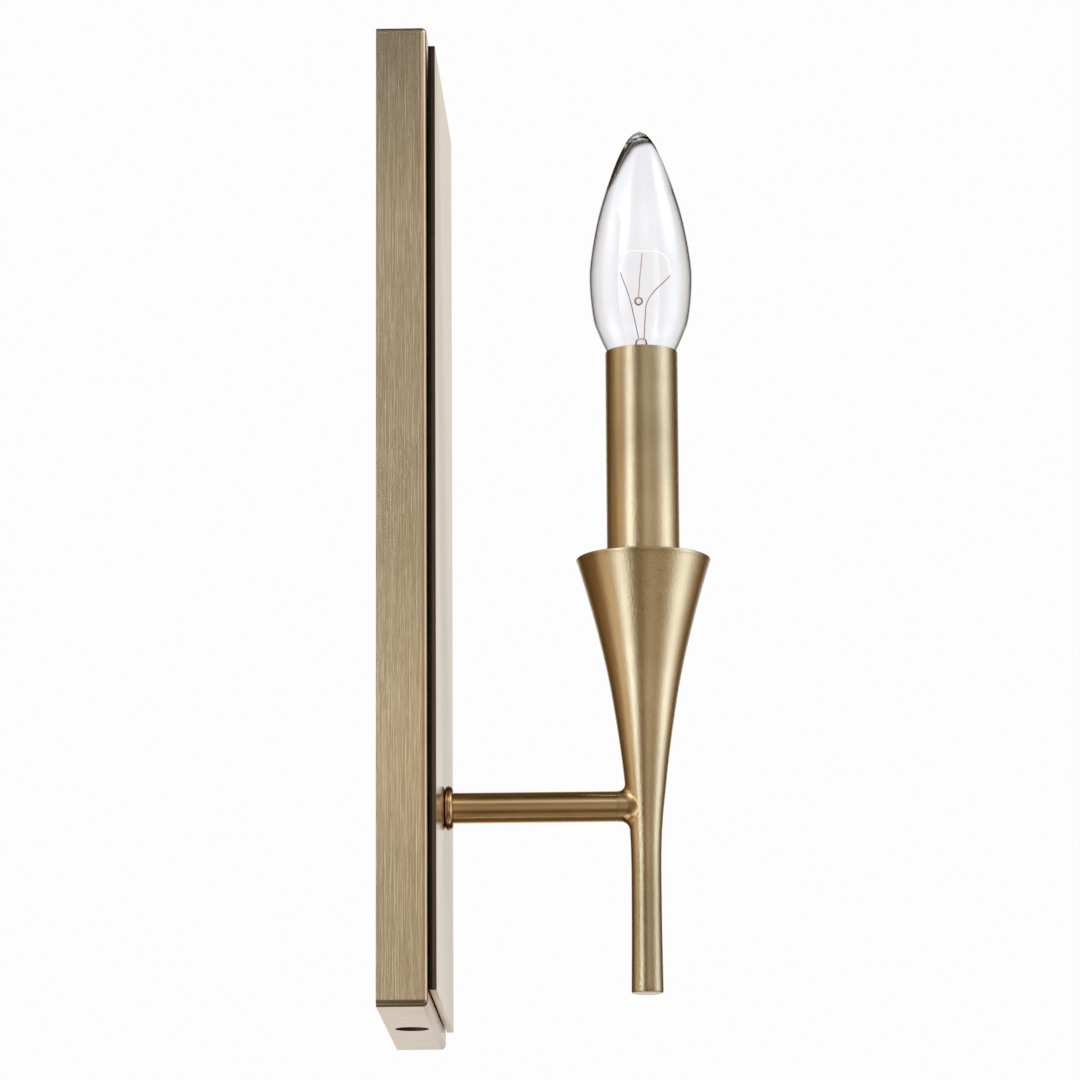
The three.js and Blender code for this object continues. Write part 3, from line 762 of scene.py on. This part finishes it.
def plate_nuts():
    for number, (x, z) in enumerate(nut_places, 1):
        stands_for = f"plate_nut_{number}"
        low, high = corners(stands_for)
        nut = moved(outwards(hexagon_nut(7, 2.02, -high.y, -low.y)), (x, 0, z))
        finished(nut, f"nut on plate stud {number}", zinc_steel, "fixture", "zinc_steel", stands_for)


# ---- Mounting strap and brackets ------------------------------------------------------------------------
def bent_strip(outline, width, across="X"):
    """A strip of sheet bent to an outline of (distance from the wall, height)."""
    if across == "X":
        points = [(-width / 2, -out, up) for out, up in outline]
        return pushed(points, (width, 0, 0))
    points = [(out, -width / 2, up) for out, up in outline]
    return pushed(points, (0, width, 0))


def mounting_strap():
    """A flat bar on the wall, with a hook at its top, a tapped tab at its foot and two slots."""
    low, high = corners("mounting_strap")
    end, thickness, half_width = 119, 2, 14
    bar = softened(slab((-half_width, -thickness, -end), (half_width, 0, end)), 0.3)
    out, lip = 8.5, 8
    hook = [
        (0, end - thickness), (out, end - thickness), (out, end + lip), (out - thickness, end + lip),
        (out - thickness, end), (0, end),
    ]
    hook = softened(bent_strip(hook, 20), 0.25)
    tab = softened(slab((-10, low.y, low.z), (10, 0, -end)), 0.25)
    # the slots fit the 88.9 mm between an outlet box's screws
    half_spacing, half_slot, half_length = 44.45, 2.3, 3.7
    slots = []
    for height in (half_spacing, -half_spacing):
        for shift in (-half_length, half_length):
            slots.append(wall_hole(half_slot, (0, height + shift), -2, 5, 32))
        slots.append(slab((-half_slot, -5, height - half_length), (half_slot, 1, height + half_length)))
    window = wall_hole(8, (0, arm_axis.z), -2, 5, 64)
    ground_hole = wall_hole(2.4, (0, middle("ground_screw").z), -2, 5)
    strap = cut(joined(bar, hook, tab), *slots, window, ground_hole)
    strap = cut(strap, upright_hole(2.1, (0, access_middle), low.z - 2, -end + 1))
    finished(strap, "mounting strap", zinc_steel, "fixture", "zinc_steel", "mounting_strap")


def hanger_bracket():
    low, high = corners("hanger_bracket")
    out, top, back, gauge = -low.y, high.z, 4.4, 1.5
    outline = [
        (out, top - 9.5), (out, top), (back, top), (back, top - 8.5), (back + gauge, top - 8.5),
        (back + gauge, top - gauge), (out - gauge, top - gauge), (out - gauge, top - 9.5),
    ]
    bracket = softened(bent_strip(outline, high.x - low.x), 0.35, 3)
    finished(bracket, "hanger bracket", zinc_steel, "fixture", "zinc_steel", "hanger_bracket")


def lock_bracket():
    low, high = corners("lock_bracket")
    out, shelf, foot, gauge = -low.y, high.z, high.z - 12, 1.5
    outline = [
        (out, shelf), (2.5, shelf), (2.5, shelf - gauge), (out - gauge, shelf - gauge), (out - gauge, foot),
        (out, foot),
    ]
    bracket = softened(bent_strip(outline, high.x - low.x), 0.35, 3)
    bracket = cut(bracket, upright_hole(2.4, (0, access_middle), shelf - 3, shelf + 1))
    finished(bracket, "lock bracket", dull_zinc, "fixture", "zinc_steel", "lock_bracket")


def washer(inner, outer, low, high, steps=64):
    """A ring or a tube with its edges broken."""
    edge = min(0.15, (high - low) / 3)
    return turned(
        [
            (inner, low + edge), (inner + edge, low), (outer - edge, low), (outer, low + edge),
            (outer, high - edge), (outer - edge, high), (inner + edge, high), (inner, high - edge),
            (inner, low + edge),
        ],
        steps,
    )


def lock_hardware():
    low, high = corners("lock_washer")
    ring = moved(washer(2.2, 4.2, low.z, high.z), lock_axis)
    finished(ring, "lock washer", dull_zinc, "lock_washer", "zinc_steel", "lock_washer")
    low, high = corners("lock_screw")
    head = 2.6
    screw = cross_head_screw(3.5, head, 1.95, high.z - low.z - head, 0.7)
    screw = moved(screw, (lock_axis.x, lock_axis.y, low.z + head))
    finished(screw, "lock screw", dull_zinc, "lock_screw", "zinc_steel", "lock_screw")
    low, high = corners("ground_screw")
    head = 2.2
    screw = rolled(cross_head_screw(4.2, head, 2.3, high.y - low.y - head, 0.8), -90, "X")
    screw = moved(screw, (0, low.y + head, middle("ground_screw").z))
    finished(screw, "ground screw", green_steel, "fixture", "green_steel", "ground_screw")


# ---- Arm and its fixing ---------------------------------------------------------------------------------
nipple_bore, nipple_core, nipple_pitch, nipple_ridge = 2.9, 3.72, 0.94, 0.2
# the holes that a nipple is screwed into, and those that it slips through
nipple_tapped, nipple_slip = 4.05, 4.15


def on_arm(bm):
    """Lays a piece, drawn by its distance from the wall, on the arm's axis."""
    return moved(outwards(bm), arm_axis)


def threaded_nipple(low, high):
    run_out = 0.6
    thread = helix(nipple_core, nipple_pitch, low + run_out, high - run_out, nipple_ridge)
    return together(washer(nipple_bore, nipple_core, low, high), thread)


def arm_fixing():
    low, high = corners("arm_nipple")
    nipple = on_arm(threaded_nipple(-high.y, -low.y))
    finished(nipple, "threaded nipple", plain_brass, "fixture", "plain_brass", "arm_nipple")

    low, high = corners("box_washer")
    ring = on_arm(washer(nipple_slip, 7.5, -high.y, -low.y))
    finished(ring, "box washer", zinc_steel, "fixture", "zinc_steel", "box_washer")

    low, high = corners("toothed_washer")
    near, far = -high.y, -low.y
    ring = washer(nipple_slip, 5.6, near, far)
    teeth, root, tip_radius, half_tooth, twist = [], 5.3, 6.9, 0.7, Matrix.Rotation(0.35, 3, "X")
    for index in range(8):
        tooth = slab((root, -half_tooth, near), (tip_radius, half_tooth, far))
        tip = [v for v in tooth.verts if v.co.x > (root + tip_radius) / 2]
        bmesh.ops.rotate(tooth, verts=tip, cent=(tip_radius, 0, (near + far) / 2), matrix=twist)
        for vert in tip:
            vert.co.z = min(max(vert.co.z, near), far)
        teeth.append(rolled(softened(tooth, 0.1, 1), index * 45, "Z"))
    ring = on_arm(together(ring, *teeth))
    finished(ring, "toothed washer", zinc_steel, "fixture", "zinc_steel", "toothed_washer")

    low, high = corners("nipple_nut")
    nut = on_arm(hexagon_nut(12, nipple_tapped, -high.y, -low.y))
    finished(nut, "nipple nut", zinc_steel, "fixture", "zinc_steel", "nipple_nut")

    low, high = corners("nipple_bushing")
    near, far = -high.y, -low.y
    bore, neck, flange = 2.2, 2.85, near + 1.3
    outline = [
        (bore, near + 0.5), (2.5, near + 0.1), (3.0, near), (4.3, near), (4.7, near + 0.4), (4.7, flange),
        (neck, flange), (neck, far - 0.3), (2.6, far), (bore, far), (bore, near + 0.5),
    ]
    bushing = on_arm(turned(outline, 64))
    finished(bushing, "insulating bushing", nylon, "fixture", "nylon", "nipple_bushing")


def arm_and_collar():
    low, high = corners("arm_collar")
    back, front = -high.y, -low.y
    outer = high.x
    half = (front - back) / 2
    bead = arc((outer - half, back + half), half, -90, 90, 20)
    bore = nipple_slip
    collar = on_arm(turned([(bore, back), *bead, (bore, front), (bore, back)], 128))
    finished(collar, "collar", collar_brass, "fixture", "natural_brass", "arm_collar")

    low, high = corners("arm_tube")
    start, end, radius = -high.y, -low.y, high.x
    bore, tapped_to, edge = 3.2, start + 10.6, 0.15
    outline = [
        (nipple_tapped, start), (radius - edge, start), (radius, start + edge), (radius, end), (bore, end),
        (bore, tapped_to), (nipple_tapped, tapped_to), (nipple_tapped, start),
    ]
    tube = on_arm(turned(outline, 128))
    finished(tube, "arm tube", drawn_brass, "fixture", "natural_brass", "arm_tube")


# ---- Trumpet cup and stem -------------------------------------------------------------------------------
cup_low, cup_high = corners("stem_and_cup")
rim_top = cup_high.z
cup_floor = -50
wire_bore = 2.6
trumpet = curve_through(
    [
        (4.88, -138.8), (4.66, -120), (4.6, -101), (4.82, -91.6), (5.35, -84), (6.2, -76.2), (7.36, -66),
        (8.98, -54.6), (11.1, -42.1), (13.85, -29.7), (17.1, -17.2), (20.7, rim_top),
    ],
    8,
)


def stem_and_cup():
    """The spun cup, drawn out into the stem, with a floor for the lampholder and a bore for its wires."""
    wall, lip = 0.9, 0.42
    inside = [(r - wall, z) for r, z in reversed(trumpet) if cup_floor + 0.8 < z < rim_top - 0.6]
    rim = arc((trumpet[-1][0] - lip, rim_top - lip), lip, 0, 150, 8)
    outside = [(r, z) for r, z in trumpet if z < rim_top - 0.5]
    foot, under_floor, bore_end = cup_low.z, cup_floor - 8, arm_axis.z - 3.5
    outline = [
        (0, foot), (4.25, foot), (4.68, foot + 0.12), (4.86, foot + 0.42), *outside[1:], *rim, *inside,
        (inside[-1][0] - 0.3, cup_floor), (nipple_tapped, cup_floor), (nipple_tapped, under_floor),
        (wire_bore, under_floor), (wire_bore, bore_end), (0, bore_end),
    ]
    cup = moved(turned(outline, 160), candle_axis)
    finished(cup, "stem and cup", spun_brass, "fixture", "natural_brass", "stem_and_cup")


def brazed_branch():
    """The short branch on the stem, with its spigot inside the arm, and the fillet round its root."""
    tube_radius = corners("arm_tube")[1].x
    root, shoulder, spigot, tip = 3.0, 8.6, 3.15, 13.6
    branch = turned(
        [
            (wire_bore, root), (tube_radius, root), (tube_radius, shoulder), (spigot, shoulder),
            (spigot, tip - 0.3), (2.9, tip), (wire_bore, tip), (wire_bore, root),
        ],
        128,
    )
    branch = moved(rolled(branch, -90, "X"), (0, candle_axis.y, arm_axis.z))
    fillet = bmesh.new()
    rings = []
    steps, spans = 96, 10
    along_arm, skirt, swell, pull, sunk = 2.7, 0.45, 2.1, 0.6, 0.8
    for step in range(steps):
        angle = TURN * step / steps
        around = Vector((math.cos(angle), 0, math.sin(angle)))
        on_tube = Vector((0, 0, arm_axis.z)) + around * tube_radius
        meet = math.sqrt(max(radius_at(trumpet, on_tube.z) ** 2 - on_tube.x**2, 0.3))
        corner = on_tube + Vector((0, candle_axis.y + meet, 0))
        on_tube.y = corner.y + along_arm
        # the braze climbs further up and down the stem than it spreads across it
        reach = tube_radius + skirt + swell * around.z**2
        on_stem = Vector((0, 0, arm_axis.z)) + around * reach
        on_stem.y = candle_axis.y + math.sqrt(max(radius_at(trumpet, on_stem.z) ** 2 - on_stem.x**2, 0.2))
        section = []
        for span in range(spans + 1):
            t = span / spans
            section.append(
                on_tube * (1 - t) ** 3
                + on_tube.lerp(corner, pull) * 3 * t * (1 - t) ** 2
                + on_stem.lerp(corner, pull) * 3 * t * t * (1 - t)
                + on_stem * t**3
            )
        inward = around * sunk
        section += [
            on_stem - around * 0.4 - Vector((0, 0.7, 0)), corner - inward - Vector((0, 0.6, 0)),
            on_tube - inward * 0.5,
        ]
        rings.append([fillet.verts.new(p) for p in section])
    loops = []
    for ring in rings:
        loops.append([fillet.edges.new((a, b)) for a, b in zip(ring, ring[1:] + ring[:1])])
    for one, other in zip(loops, loops[1:] + loops[:1]):
        bmesh.ops.bridge_loops(fillet, edges=one + other)
    bmesh.ops.recalc_face_normals(fillet, faces=fillet.faces)
    whole = together(branch, fillet)
    finished(whole, "brazed branch", buffed_brass, "fixture", "natural_brass", "stem_and_cup", sharp=50)


# ---- Lampholder -----------------------------------------------------------------------------------------
def on_candle(bm):
    """Puts an upright piece on the candle's axis."""
    return moved(bm, candle_axis)


def lampholder():
    screw_hole = 1.6
    low, high = corners("holder_nipple")
    nipple = on_candle(threaded_nipple(low.z, high.z))
    finished(nipple, "holder nipple", plain_brass, "fixture", "plain_brass", "holder_nipple")

    low, high = corners("holder_bracket")
    foot, top, strip, back = low.z, high.z, 1.2, 7.4
    outline = [
        (-5.4, foot), (back, foot), (back, top), (-4.5, top), (-4.5, top - strip),
        (back - strip, top - strip), (back - strip, foot + strip), (-5.4, foot + strip),
    ]
    bracket = softened(bent_strip(outline, high.y - low.y, across="Y"), 0.3, 3)
    bracket = cut(bracket, rod(4.1, foot - 1, foot + 2), rod(screw_hole, top - 3, top + 1))
    finished(on_candle(bracket), "holder bracket", zinc_steel, "fixture", "zinc_steel", "holder_bracket")

    low, high = corners("bracket_nut")
    nut = on_candle(hexagon_nut(11, nipple_tapped, low.z, high.z))
    finished(nut, "bracket nut", zinc_steel, "fixture", "zinc_steel", "bracket_nut")

    low, high = corners("holder_screw")
    head = 1.8
    screw = moved(cross_head_screw(2.8, head, 1.45, high.z - low.z - head, 0.6), (0, 0, low.z + head))
    finished(on_candle(screw), "holder screw", zinc_steel, "fixture", "zinc_steel", "holder_screw")

    low, high = corners("lampholder_body")
    foot, top, radius, bore, floor, flat = low.z, high.z, high.x, 6.45, 30.5, 7.4
    outline = [
        (0, foot), (radius - 0.6, foot), (radius - 0.15, foot + 0.15), (radius, foot + 0.6),
        (radius, top - 0.8), (radius - 0.24, top - 0.24), (radius - 0.8, top), (bore + 0.2, top),
        (bore, top - 0.2), (bore, floor), (0, floor),
    ]
    flats = [
        slab((-12, near, foot + 2), (12, far, floor + 1)) for near, far in ((flat, 14), (-14, -flat))
    ]
    height = middle("terminal_screw_live").z
    holes = [wall_hole(1.35, (0, height), side * 4, side * 20, 32) for side in (1, -1)]
    body = cut(turned(outline, 96), *flats, *holes, rod(screw_hole, foot - 1, foot + 6.5, 32))
    finished(on_candle(body), "lampholder body", phenolic, "fixture", "phenolic", "lampholder_body")

    low, high = corners("lampholder_shell")
    shell = on_candle(washer(6.05, 6.4, low.z, high.z, 96))
    finished(shell, "lampholder shell", plain_brass, "fixture", "plain_brass", "lampholder_shell")

    low, high = corners("centre_contact")
    base, top, strip, droop = low.z, high.z, 0.4, 0.7
    outline = [
        (-4.6, base), (-1.6, base), (-0.2, base + 1.1), (1.2, top - strip), (3.4, top - strip - droop),
        (3.4, top - droop), (1.1, top), (-0.5, base + 1.4), (-1.8, base + strip), (-4.6, base + strip),
    ]
    tongue = softened(bent_strip(outline, high.y - low.y, across="Y"), 0.08, 2)
    finished(on_candle(tongue), "centre contact", plain_brass, "fixture", "plain_brass", "centre_contact")

    for name, side, finish, slot in (
        ("terminal_screw_live", 1, plain_brass, "plain_brass"),
        ("terminal_screw_neutral", -1, zinc_steel, "zinc_steel"),
    ):
        low, high = corners(name)
        head = 1.3
        screw = rolled(cross_head_screw(2.2, head, 1.2, 2.8, 0.5), side * 90, "X")
        seat = high.y - head if side > 0 else low.y + head
        screw = moved(screw, (candle_axis.x, seat, height))
        finished(screw, name.replace("_", " "), finish, "fixture", slot, name)

    low, high = corners("fibre_liner")
    liner = washer(high.x - 0.35, high.x, low.z, high.z, 96)
    finished(on_candle(liner), "fibre liner", vulcan_fibre, "fixture", "fibre", "fibre_liner")


def candle_sleeve():
    """A plain tube whose two ends are rounded over half its wall."""
    low, high = corners("candle_sleeve")
    outer, wall = high.x, 0.47
    half = wall / 2
    top_lip = arc((outer - half, high.z - half), half, 0, 180, 8)
    foot_lip = arc((outer - half, low.z + half), half, 180, 360, 8)
    sleeve = on_candle(turned([*top_lip, *foot_lip, top_lip[0]], 160))
    finished(sleeve, "candle sleeve", spun_brass, "sleeve", "natural_brass", "candle_sleeve")


# ---- Bulb -----------------------------------------------------------------------------------------------
flame = curve_through(
    [
        (5.15, 48.6), (5.3, 51.5), (6.9, 54.8), (10.2, 60), (13.18, 66.4), (14.95, 72.1), (15.95, 82.5),
        (15.4, 91.4), (12.85, 104.9), (8.5, 118.5), (5.2, 126.2), (2.7, 130), (0, 131.7),
    ],
    8,
)


def bulb():
    def piece(bm, name, finish, slot, *nodes, **more):
        finished(on_candle(bm), name, finish, "bulb", slot, *nodes, **more)

    wall, neck_radius, seal_from = 0.5, 4.4, 112
    outside = [(max(r, 0), z) for r, z in flame]
    inside = [(r - wall, z - 0.2) for r, z in reversed(outside) if r > neck_radius]
    seal_radius, seal_foot = inside[0]
    tip = [
        (0, seal_foot + 2.0), (seal_radius * 0.35, seal_foot + 1.8), (seal_radius * 0.75, seal_foot + 1.1)
    ]
    glass = turned([*outside, *tip, *inside, outside[0]], 160)
    for vert in glass.verts:
        # the sealed tip is thicker on the side towards the wall
        height = vert.co.z
        within = Vector(vert.co.xy).length < radius_at(flame, height) - 0.3
        if within and height > seal_from:
            vert.co.y -= 0.05 * (height - seal_from)
    piece(glass, "bulb glass", clear_glass, "clear_glass", "bulb_glass", sharp=60)

    low, high = corners("bulb_cap")
    radius, foot, metal = 5.5, low.z, 0.35
    shell = [
        (4.6, foot), (5.2, foot), (radius, foot + 0.9), (radius, 49.7), (5.85, 50.0), (6.7, 50.6),
        (6.7, 52.4), (6.5, high.z), (6.35, 52.4), (6.35, 51), (radius - metal, 50.2),
        (radius - metal, foot + 1.1), (4.6, foot + 0.5), (4.6, foot),
    ]
    thread = helix(radius, 2.54, foot + 2.2, 48.4, 0.33, 1.15, 40)
    piece(together(turned(shell, 96), thread), "bulb cap", plain_brass, "plain_brass", "bulb_cap")

    low, high = corners("bulb_insulator")
    foot, top = low.z, high.z
    disc = turned([(0, foot), (2.5, foot), (3.6, foot + 0.75), (4.5, top - 1), (4.5, top), (0, top)], 64)
    piece(disc, "cap insulator", phenolic, "phenolic", "bulb_insulator")

    low, high = corners("bulb_foot_contact")
    foot, top = low.z, high.z
    dome = [(0, foot), (0.8, foot + 0.05), (1.6, foot + 0.28), (2.2, foot + 0.6), (2.4, top), (0, top)]
    dome = on_candle(turned(dome, 64))
    finished(dome, "solder foot contact", solder, "bulb_foot", "solder", "bulb_foot_contact")

    foot, pinch_from, pinch_length, pinch = 49.4, 60, 3, 0.45
    mount = [
        (1, foot), (4, foot), (3.6, 50.6), (2.6, 53.6), (2.1, 56.5), (1.9, 60), (1.85, 63.6), (1.6, 64.6),
        (0.9, 65), (0, 65), (0, 60), (0.7, 59.6), (1, 58.8), (1, foot),
    ]
    pinched = turned(mount, 64)
    for vert in pinched.verts:
        if vert.co.z > pinch_from:
            vert.co.x *= 1 - min((vert.co.z - pinch_from) / pinch_length, 1) * pinch
    piece(pinched, "glass mount", pressed_glass, "clear_glass", "bulb_mount", sharp=60)

    low, high = corners("bulb_bead")
    bead = bmesh.new()
    bmesh.ops.create_uvsphere(bead, u_segments=32, v_segments=16, radius=(high.x - low.x) / 2)
    bead = moved(bead, middle("bulb_bead"))
    finished(bead, "glass bead", pressed_glass, "bulb", "clear_glass", "bulb_bead", sharp=60)

    def wire(points, radius, **more):
        """A wire inside the bulb through points of (sideways, out from the wall, height)."""
        return wire_along([(x, -out, up) for x, out, up in points], radius, **more)

    leads = {
        "lead_wire_wall_side": [(-0.5, -0.8, 65.1), (-0.9, -2.4, 73), (-1.2, -3.3, 77), (-2, -6.2, 85.6)],
        "lead_wire_room_side": [(0.5, 0.9, 65.1), (0.8, 1.4, 73), (0.9, 2, 77), (2, 9.2, 85.6)],
    }
    for name, points in leads.items():
        piece(wire(points, 0.16), name.replace("_", " "), lead_wire, "nickel_wire", name, sharp=60)
    support = wire([(0, -0.7, 78.5), (0, -0.2, 85), (0.2, 0.6, 92.4)], 0.13)
    piece(support, "filament support", lead_wire, "nickel_wire", "filament_support")

    arch = curve_through(
        [
            (-2, -6.2, 86.2), (-1.7, -5.4, 90.0), (-1.4, -4.2, 92.4), (0.2, 0.6, 93.2), (1.4, 5.8, 93.0),
            (1.8, 8.4, 90.6), (2, 9.2, 86.2),
        ],
        40,
    )
    coil, coil_radius, turns, last = [], 0.16, 62, len(arch) - 1
    for index, point in enumerate(arch):
        along = Vector(arch[min(index + 1, last)]) - Vector(arch[max(index - 1, 0)])
        along.normalize()
        side = along.cross(Vector((1, 0, 0))).normalized()
        other = along.cross(side)
        angle = TURN * turns * index / last
        coil.append(Vector(point) + (side * math.cos(angle) + other * math.sin(angle)) * coil_radius)
    filament = wire(coil, 0.04, resolution=4, sides=1)
    piece(filament, "coiled filament", tungsten, "tungsten", "filament", sharp=80)


# ---- Floor, light and camera ----------------------------------------------------------------------------
def studio_floor():
    """A pale floor well below the sconce. It stays out of the reflections."""
    bm = bmesh.new()
    bmesh.ops.create_grid(bm, x_segments=1, y_segments=1, size=6)
    bmesh.ops.translate(bm, verts=bm.verts, vec=(0, 0, -0.5))
    mesh = bpy.data.meshes.new("studio floor")
    bm.to_mesh(mesh)
    bm.free()
    material = bpy.data.materials.new("pale floor")
    material.use_nodes = True
    shader = material.node_tree.nodes["Principled BSDF"]
    shader.inputs["Base Color"].default_value = (0.9, 0.9, 0.9, 1)
    shader.inputs["Roughness"].default_value = 0.9
    mesh.materials.append(material)
    floor = bpy.data.objects.new("studio floor", mesh)
    bpy.context.scene.collection.objects.link(floor)
    floor.visible_glossy = False


# brightness of the room round the sconce, by bearing in degrees: 0 is where the camera stands, positive
# bearings are out in the room and negative ones are along the wall
BEARINGS = [
    (-180, 0.9), (-163, 0.9), (-156, 0.25), (-148, 0.07), (-130, 0.1), (-113, 0.24), (-98, 0.42),
    (-80, 0.5), (-64, 0.85), (-54, 1.2), (-47, 1.65), (-38, 1.35), (-31, 0.75), (-23, 0.25), (-14, 0.15),
    (-3, 0.22), (5, 0.42), (18, 0.48), (32, 0.33), (46, 0.38), (60, 0.5), (70, 0.95), (82, 1.2),
    (96, 0.95), (108, 0.42), (122, 0.22), (140, 0.09), (150, 0.07), (157, 0.25), (163, 0.9), (180, 0.9),
]
# and by height in degrees above the horizon, as a share of that: on the camera's side of the room, and
# behind the sconce
HEIGHTS = [
    (-90, 0.4), (-76, 1.0), (-59, 1.0), (-43, 0.36), (-34, 0.45), (-20, 1.0), (-12, 1.25), (3, 1.15),
    (14, 0.95), (22, 0.95), (30, 1.9), (36, 2.6), (43, 2.1), (50, 1.1), (60, 0.5), (72, 0.25), (90, 0.12),
]
HEIGHTS_BEHIND = [
    (-90, 0.25), (-62, 0.1), (-45, 0.25), (-31, 0.6), (-15, 1.0), (20, 1.0), (32, 0.6), (45, 0.2),
    (60, 0.1), (90, 0.12),
]
BRIGHTEST = 3.0
BACKDROP = (0.98, 0.98, 0.98)
# what the bulb's rim bends into view, and the tint of the room behind the sconce
RIM_SHADE = (0.06, 0.055, 0.05)
AMBER = (1, 0.89, 0.765)


def between(tree, place, value, low, high, **more):
    """A value brought from the span between low and high to run from 0 to 1."""
    made = node(tree, "ShaderNodeMapRange", place, **more)
    made.inputs["From Min"].default_value, made.inputs["From Max"].default_value = low, high
    tree.links.new(value, made.inputs["Value"])
    return made.outputs["Result"]


def product(tree, place, first, second):
    """Two values multiplied; the second may be a socket or a number."""
    made = node(tree, "ShaderNodeMath", place, operation="MULTIPLY")
    tree.links.new(first, made.inputs[0])
    if isinstance(second, bpy.types.NodeSocket):
        tree.links.new(second, made.inputs[1])
    else:
        made.inputs[1].default_value = second
    return made.outputs[0]


def studio_light():
    """A bright backdrop for the camera, and for the metal a room that is uneven by bearing and height."""
    world = bpy.data.worlds.new("studio")
    bpy.context.scene.world = world
    world.use_nodes = True
    tree = world.node_tree
    background = tree.nodes["Background"]
    place = node(tree, "ShaderNodeTexCoord", (-1500, 0))
    parts = node(tree, "ShaderNodeSeparateXYZ", (-1300, 0))
    tree.links.new(place.outputs["Generated"], parts.inputs["Vector"])
    bearing = node(tree, "ShaderNodeMath", (-900, 100), operation="ARCTAN2")
    for row, name in enumerate("YX"):
        flipped = product(tree, (-1100, 200 - 200 * row), parts.outputs[name], -1)
        tree.links.new(flipped, bearing.inputs[row])
    height = node(tree, "ShaderNodeMath", (-900, -200), operation="ARCSINE")
    tree.links.new(parts.outputs["Z"], height.inputs[0])
    ramps = []
    for angle, stops, span, row in (
        (bearing, BEARINGS, 360, 0), (height, HEIGHTS, 180, -300), (height, HEIGHTS_BEHIND, 180, -600),
    ):
        share = node(tree, "ShaderNodeMath", (-700, 100 + row), operation="MULTIPLY_ADD")
        share.inputs[1].default_value = 1 / math.radians(span)
        share.inputs[2].default_value = 0.5
        tree.links.new(angle.outputs[0], share.inputs[0])
        ramp = shade_ramp(tree, (-500, 100 + row), stops, span, BRIGHTEST)
        tree.links.new(share.outputs[0], ramp.inputs["Fac"])
        ramps.append(ramp.outputs["Color"])
    round_about, ahead_heights, behind_heights = ramps
    aside = node(tree, "ShaderNodeMath", (-700, 400), operation="ABSOLUTE")
    tree.links.new(bearing.outputs[0], aside.inputs[0])
    behind = between(tree, (-500, 400), aside.outputs[0], 1.6, 2.5, interpolation_type="SMOOTHSTEP")
    heights = mixed(tree, (-300, -400), behind, ahead_heights, behind_heights)
    level = product(tree, (-150, 0), round_about, heights)
    level = product(tree, (0, 0), level, BRIGHTEST * BRIGHTEST)

    # bright parts of the room are cooler than the dim ones
    room = node(tree, "ShaderNodeCombineColor", (500, 0))
    tree.links.new(level, room.inputs["Red"])
    for row, (channel, dim, bright) in enumerate((("Green", 0.72, 1.19), ("Blue", 0.30, 1.45))):
        coolness = node(tree, "ShaderNodeMapRange", (150, -150 - 250 * row))
        coolness.inputs["From Max"].default_value = 1.1
        coolness.inputs["To Min"].default_value, coolness.inputs["To Max"].default_value = dim, bright
        tree.links.new(level, coolness.inputs["Value"])
        tinted = product(tree, (320, -150 - 250 * row), level, coolness.outputs["Result"])
        tree.links.new(tinted, room.inputs[channel])
    amber = node(tree, "ShaderNodeMix", (650, 0), data_type="RGBA", blend_type="MULTIPLY")
    channels = [socket for socket in amber.inputs if socket.type == "RGBA"]
    channels[1].default_value = (*AMBER, 1)
    tree.links.new(behind, amber.inputs["Factor"])
    tree.links.new(room.outputs["Color"], channels[0])
    lit_room = next(out for out in amber.outputs if out.type == "RGBA")

    # the camera sees the backdrop, also through the glass; only the bulb's rim bends the room into view
    rays = node(tree, "ShaderNodeLightPath", (200, 400))
    through_glass = rays.outputs["Is Transmission Ray"]
    ahead = node(tree, "ShaderNodeVectorMath", (-200, 600), operation="DOT_PRODUCT")
    ahead.inputs[1].default_value = (0.970, 0.01, 0.242)
    tree.links.new(place.outputs["Generated"], ahead.inputs[0])
    straight = between(tree, (0, 600), ahead.outputs["Value"], 0.957, 0.987)
    bent = between(tree, (0, 850), ahead.outputs["Value"], 0.84, 0.9)
    rim = product(tree, (200, 850), through_glass, bent)
    outlined = mixed(tree, (550, 450), rim, lit_room, RIM_SHADE)
    seen = node(tree, "ShaderNodeMath", (400, 400), operation="MAXIMUM")
    tree.links.new(rays.outputs["Is Camera Ray"], seen.inputs[0])
    tree.links.new(product(tree, (200, 600), through_glass, straight), seen.inputs[1])
    backdrop = mixed(tree, (700, 200), seen.outputs[0], outlined, BACKDROP)
    tree.links.new(backdrop, background.inputs["Color"])


def studio_camera():
    """The camera stands to the sconce's side and below it, and looks up along the wall."""
    stand = Vector((-1.6539437, -0.0958341, -0.3448022))
    yaw, pitch, roll = 0.0293879, 0.2063241, -0.0059339
    ahead = Vector((math.cos(pitch) * math.cos(yaw), math.cos(pitch) * math.sin(yaw), math.sin(pitch)))
    right = ahead.cross(Vector((0, 0, 1))).normalized()
    up = right.cross(ahead)
    turned_right = right * math.cos(roll) + up * math.sin(roll)
    turned_up = up * math.cos(roll) - right * math.sin(roll)
    data = bpy.data.cameras.new("camera")
    data.sensor_fit = "HORIZONTAL"
    data.sensor_width = 36
    data.lens = 182.88667
    data.clip_start, data.clip_end = 0.05, 50
    camera = bpy.data.objects.new("camera", data)
    bpy.context.scene.collection.objects.link(camera)
    axes = Matrix((turned_right, turned_up, -ahead)).transposed().to_4x4()
    camera.matrix_world = Matrix.Translation(stand) @ axes
    bpy.context.scene.camera = camera


wall_box()
front_plate()
plate_nuts()
mounting_strap()
hanger_bracket()
lock_bracket()
lock_hardware()
arm_fixing()
arm_and_collar()
stem_and_cup()
brazed_branch()
lampholder()
candle_sleeve()
bulb()
studio_floor()
studio_light()
studio_camera()
bpy.context.scene.view_settings.view_transform = "Standard"
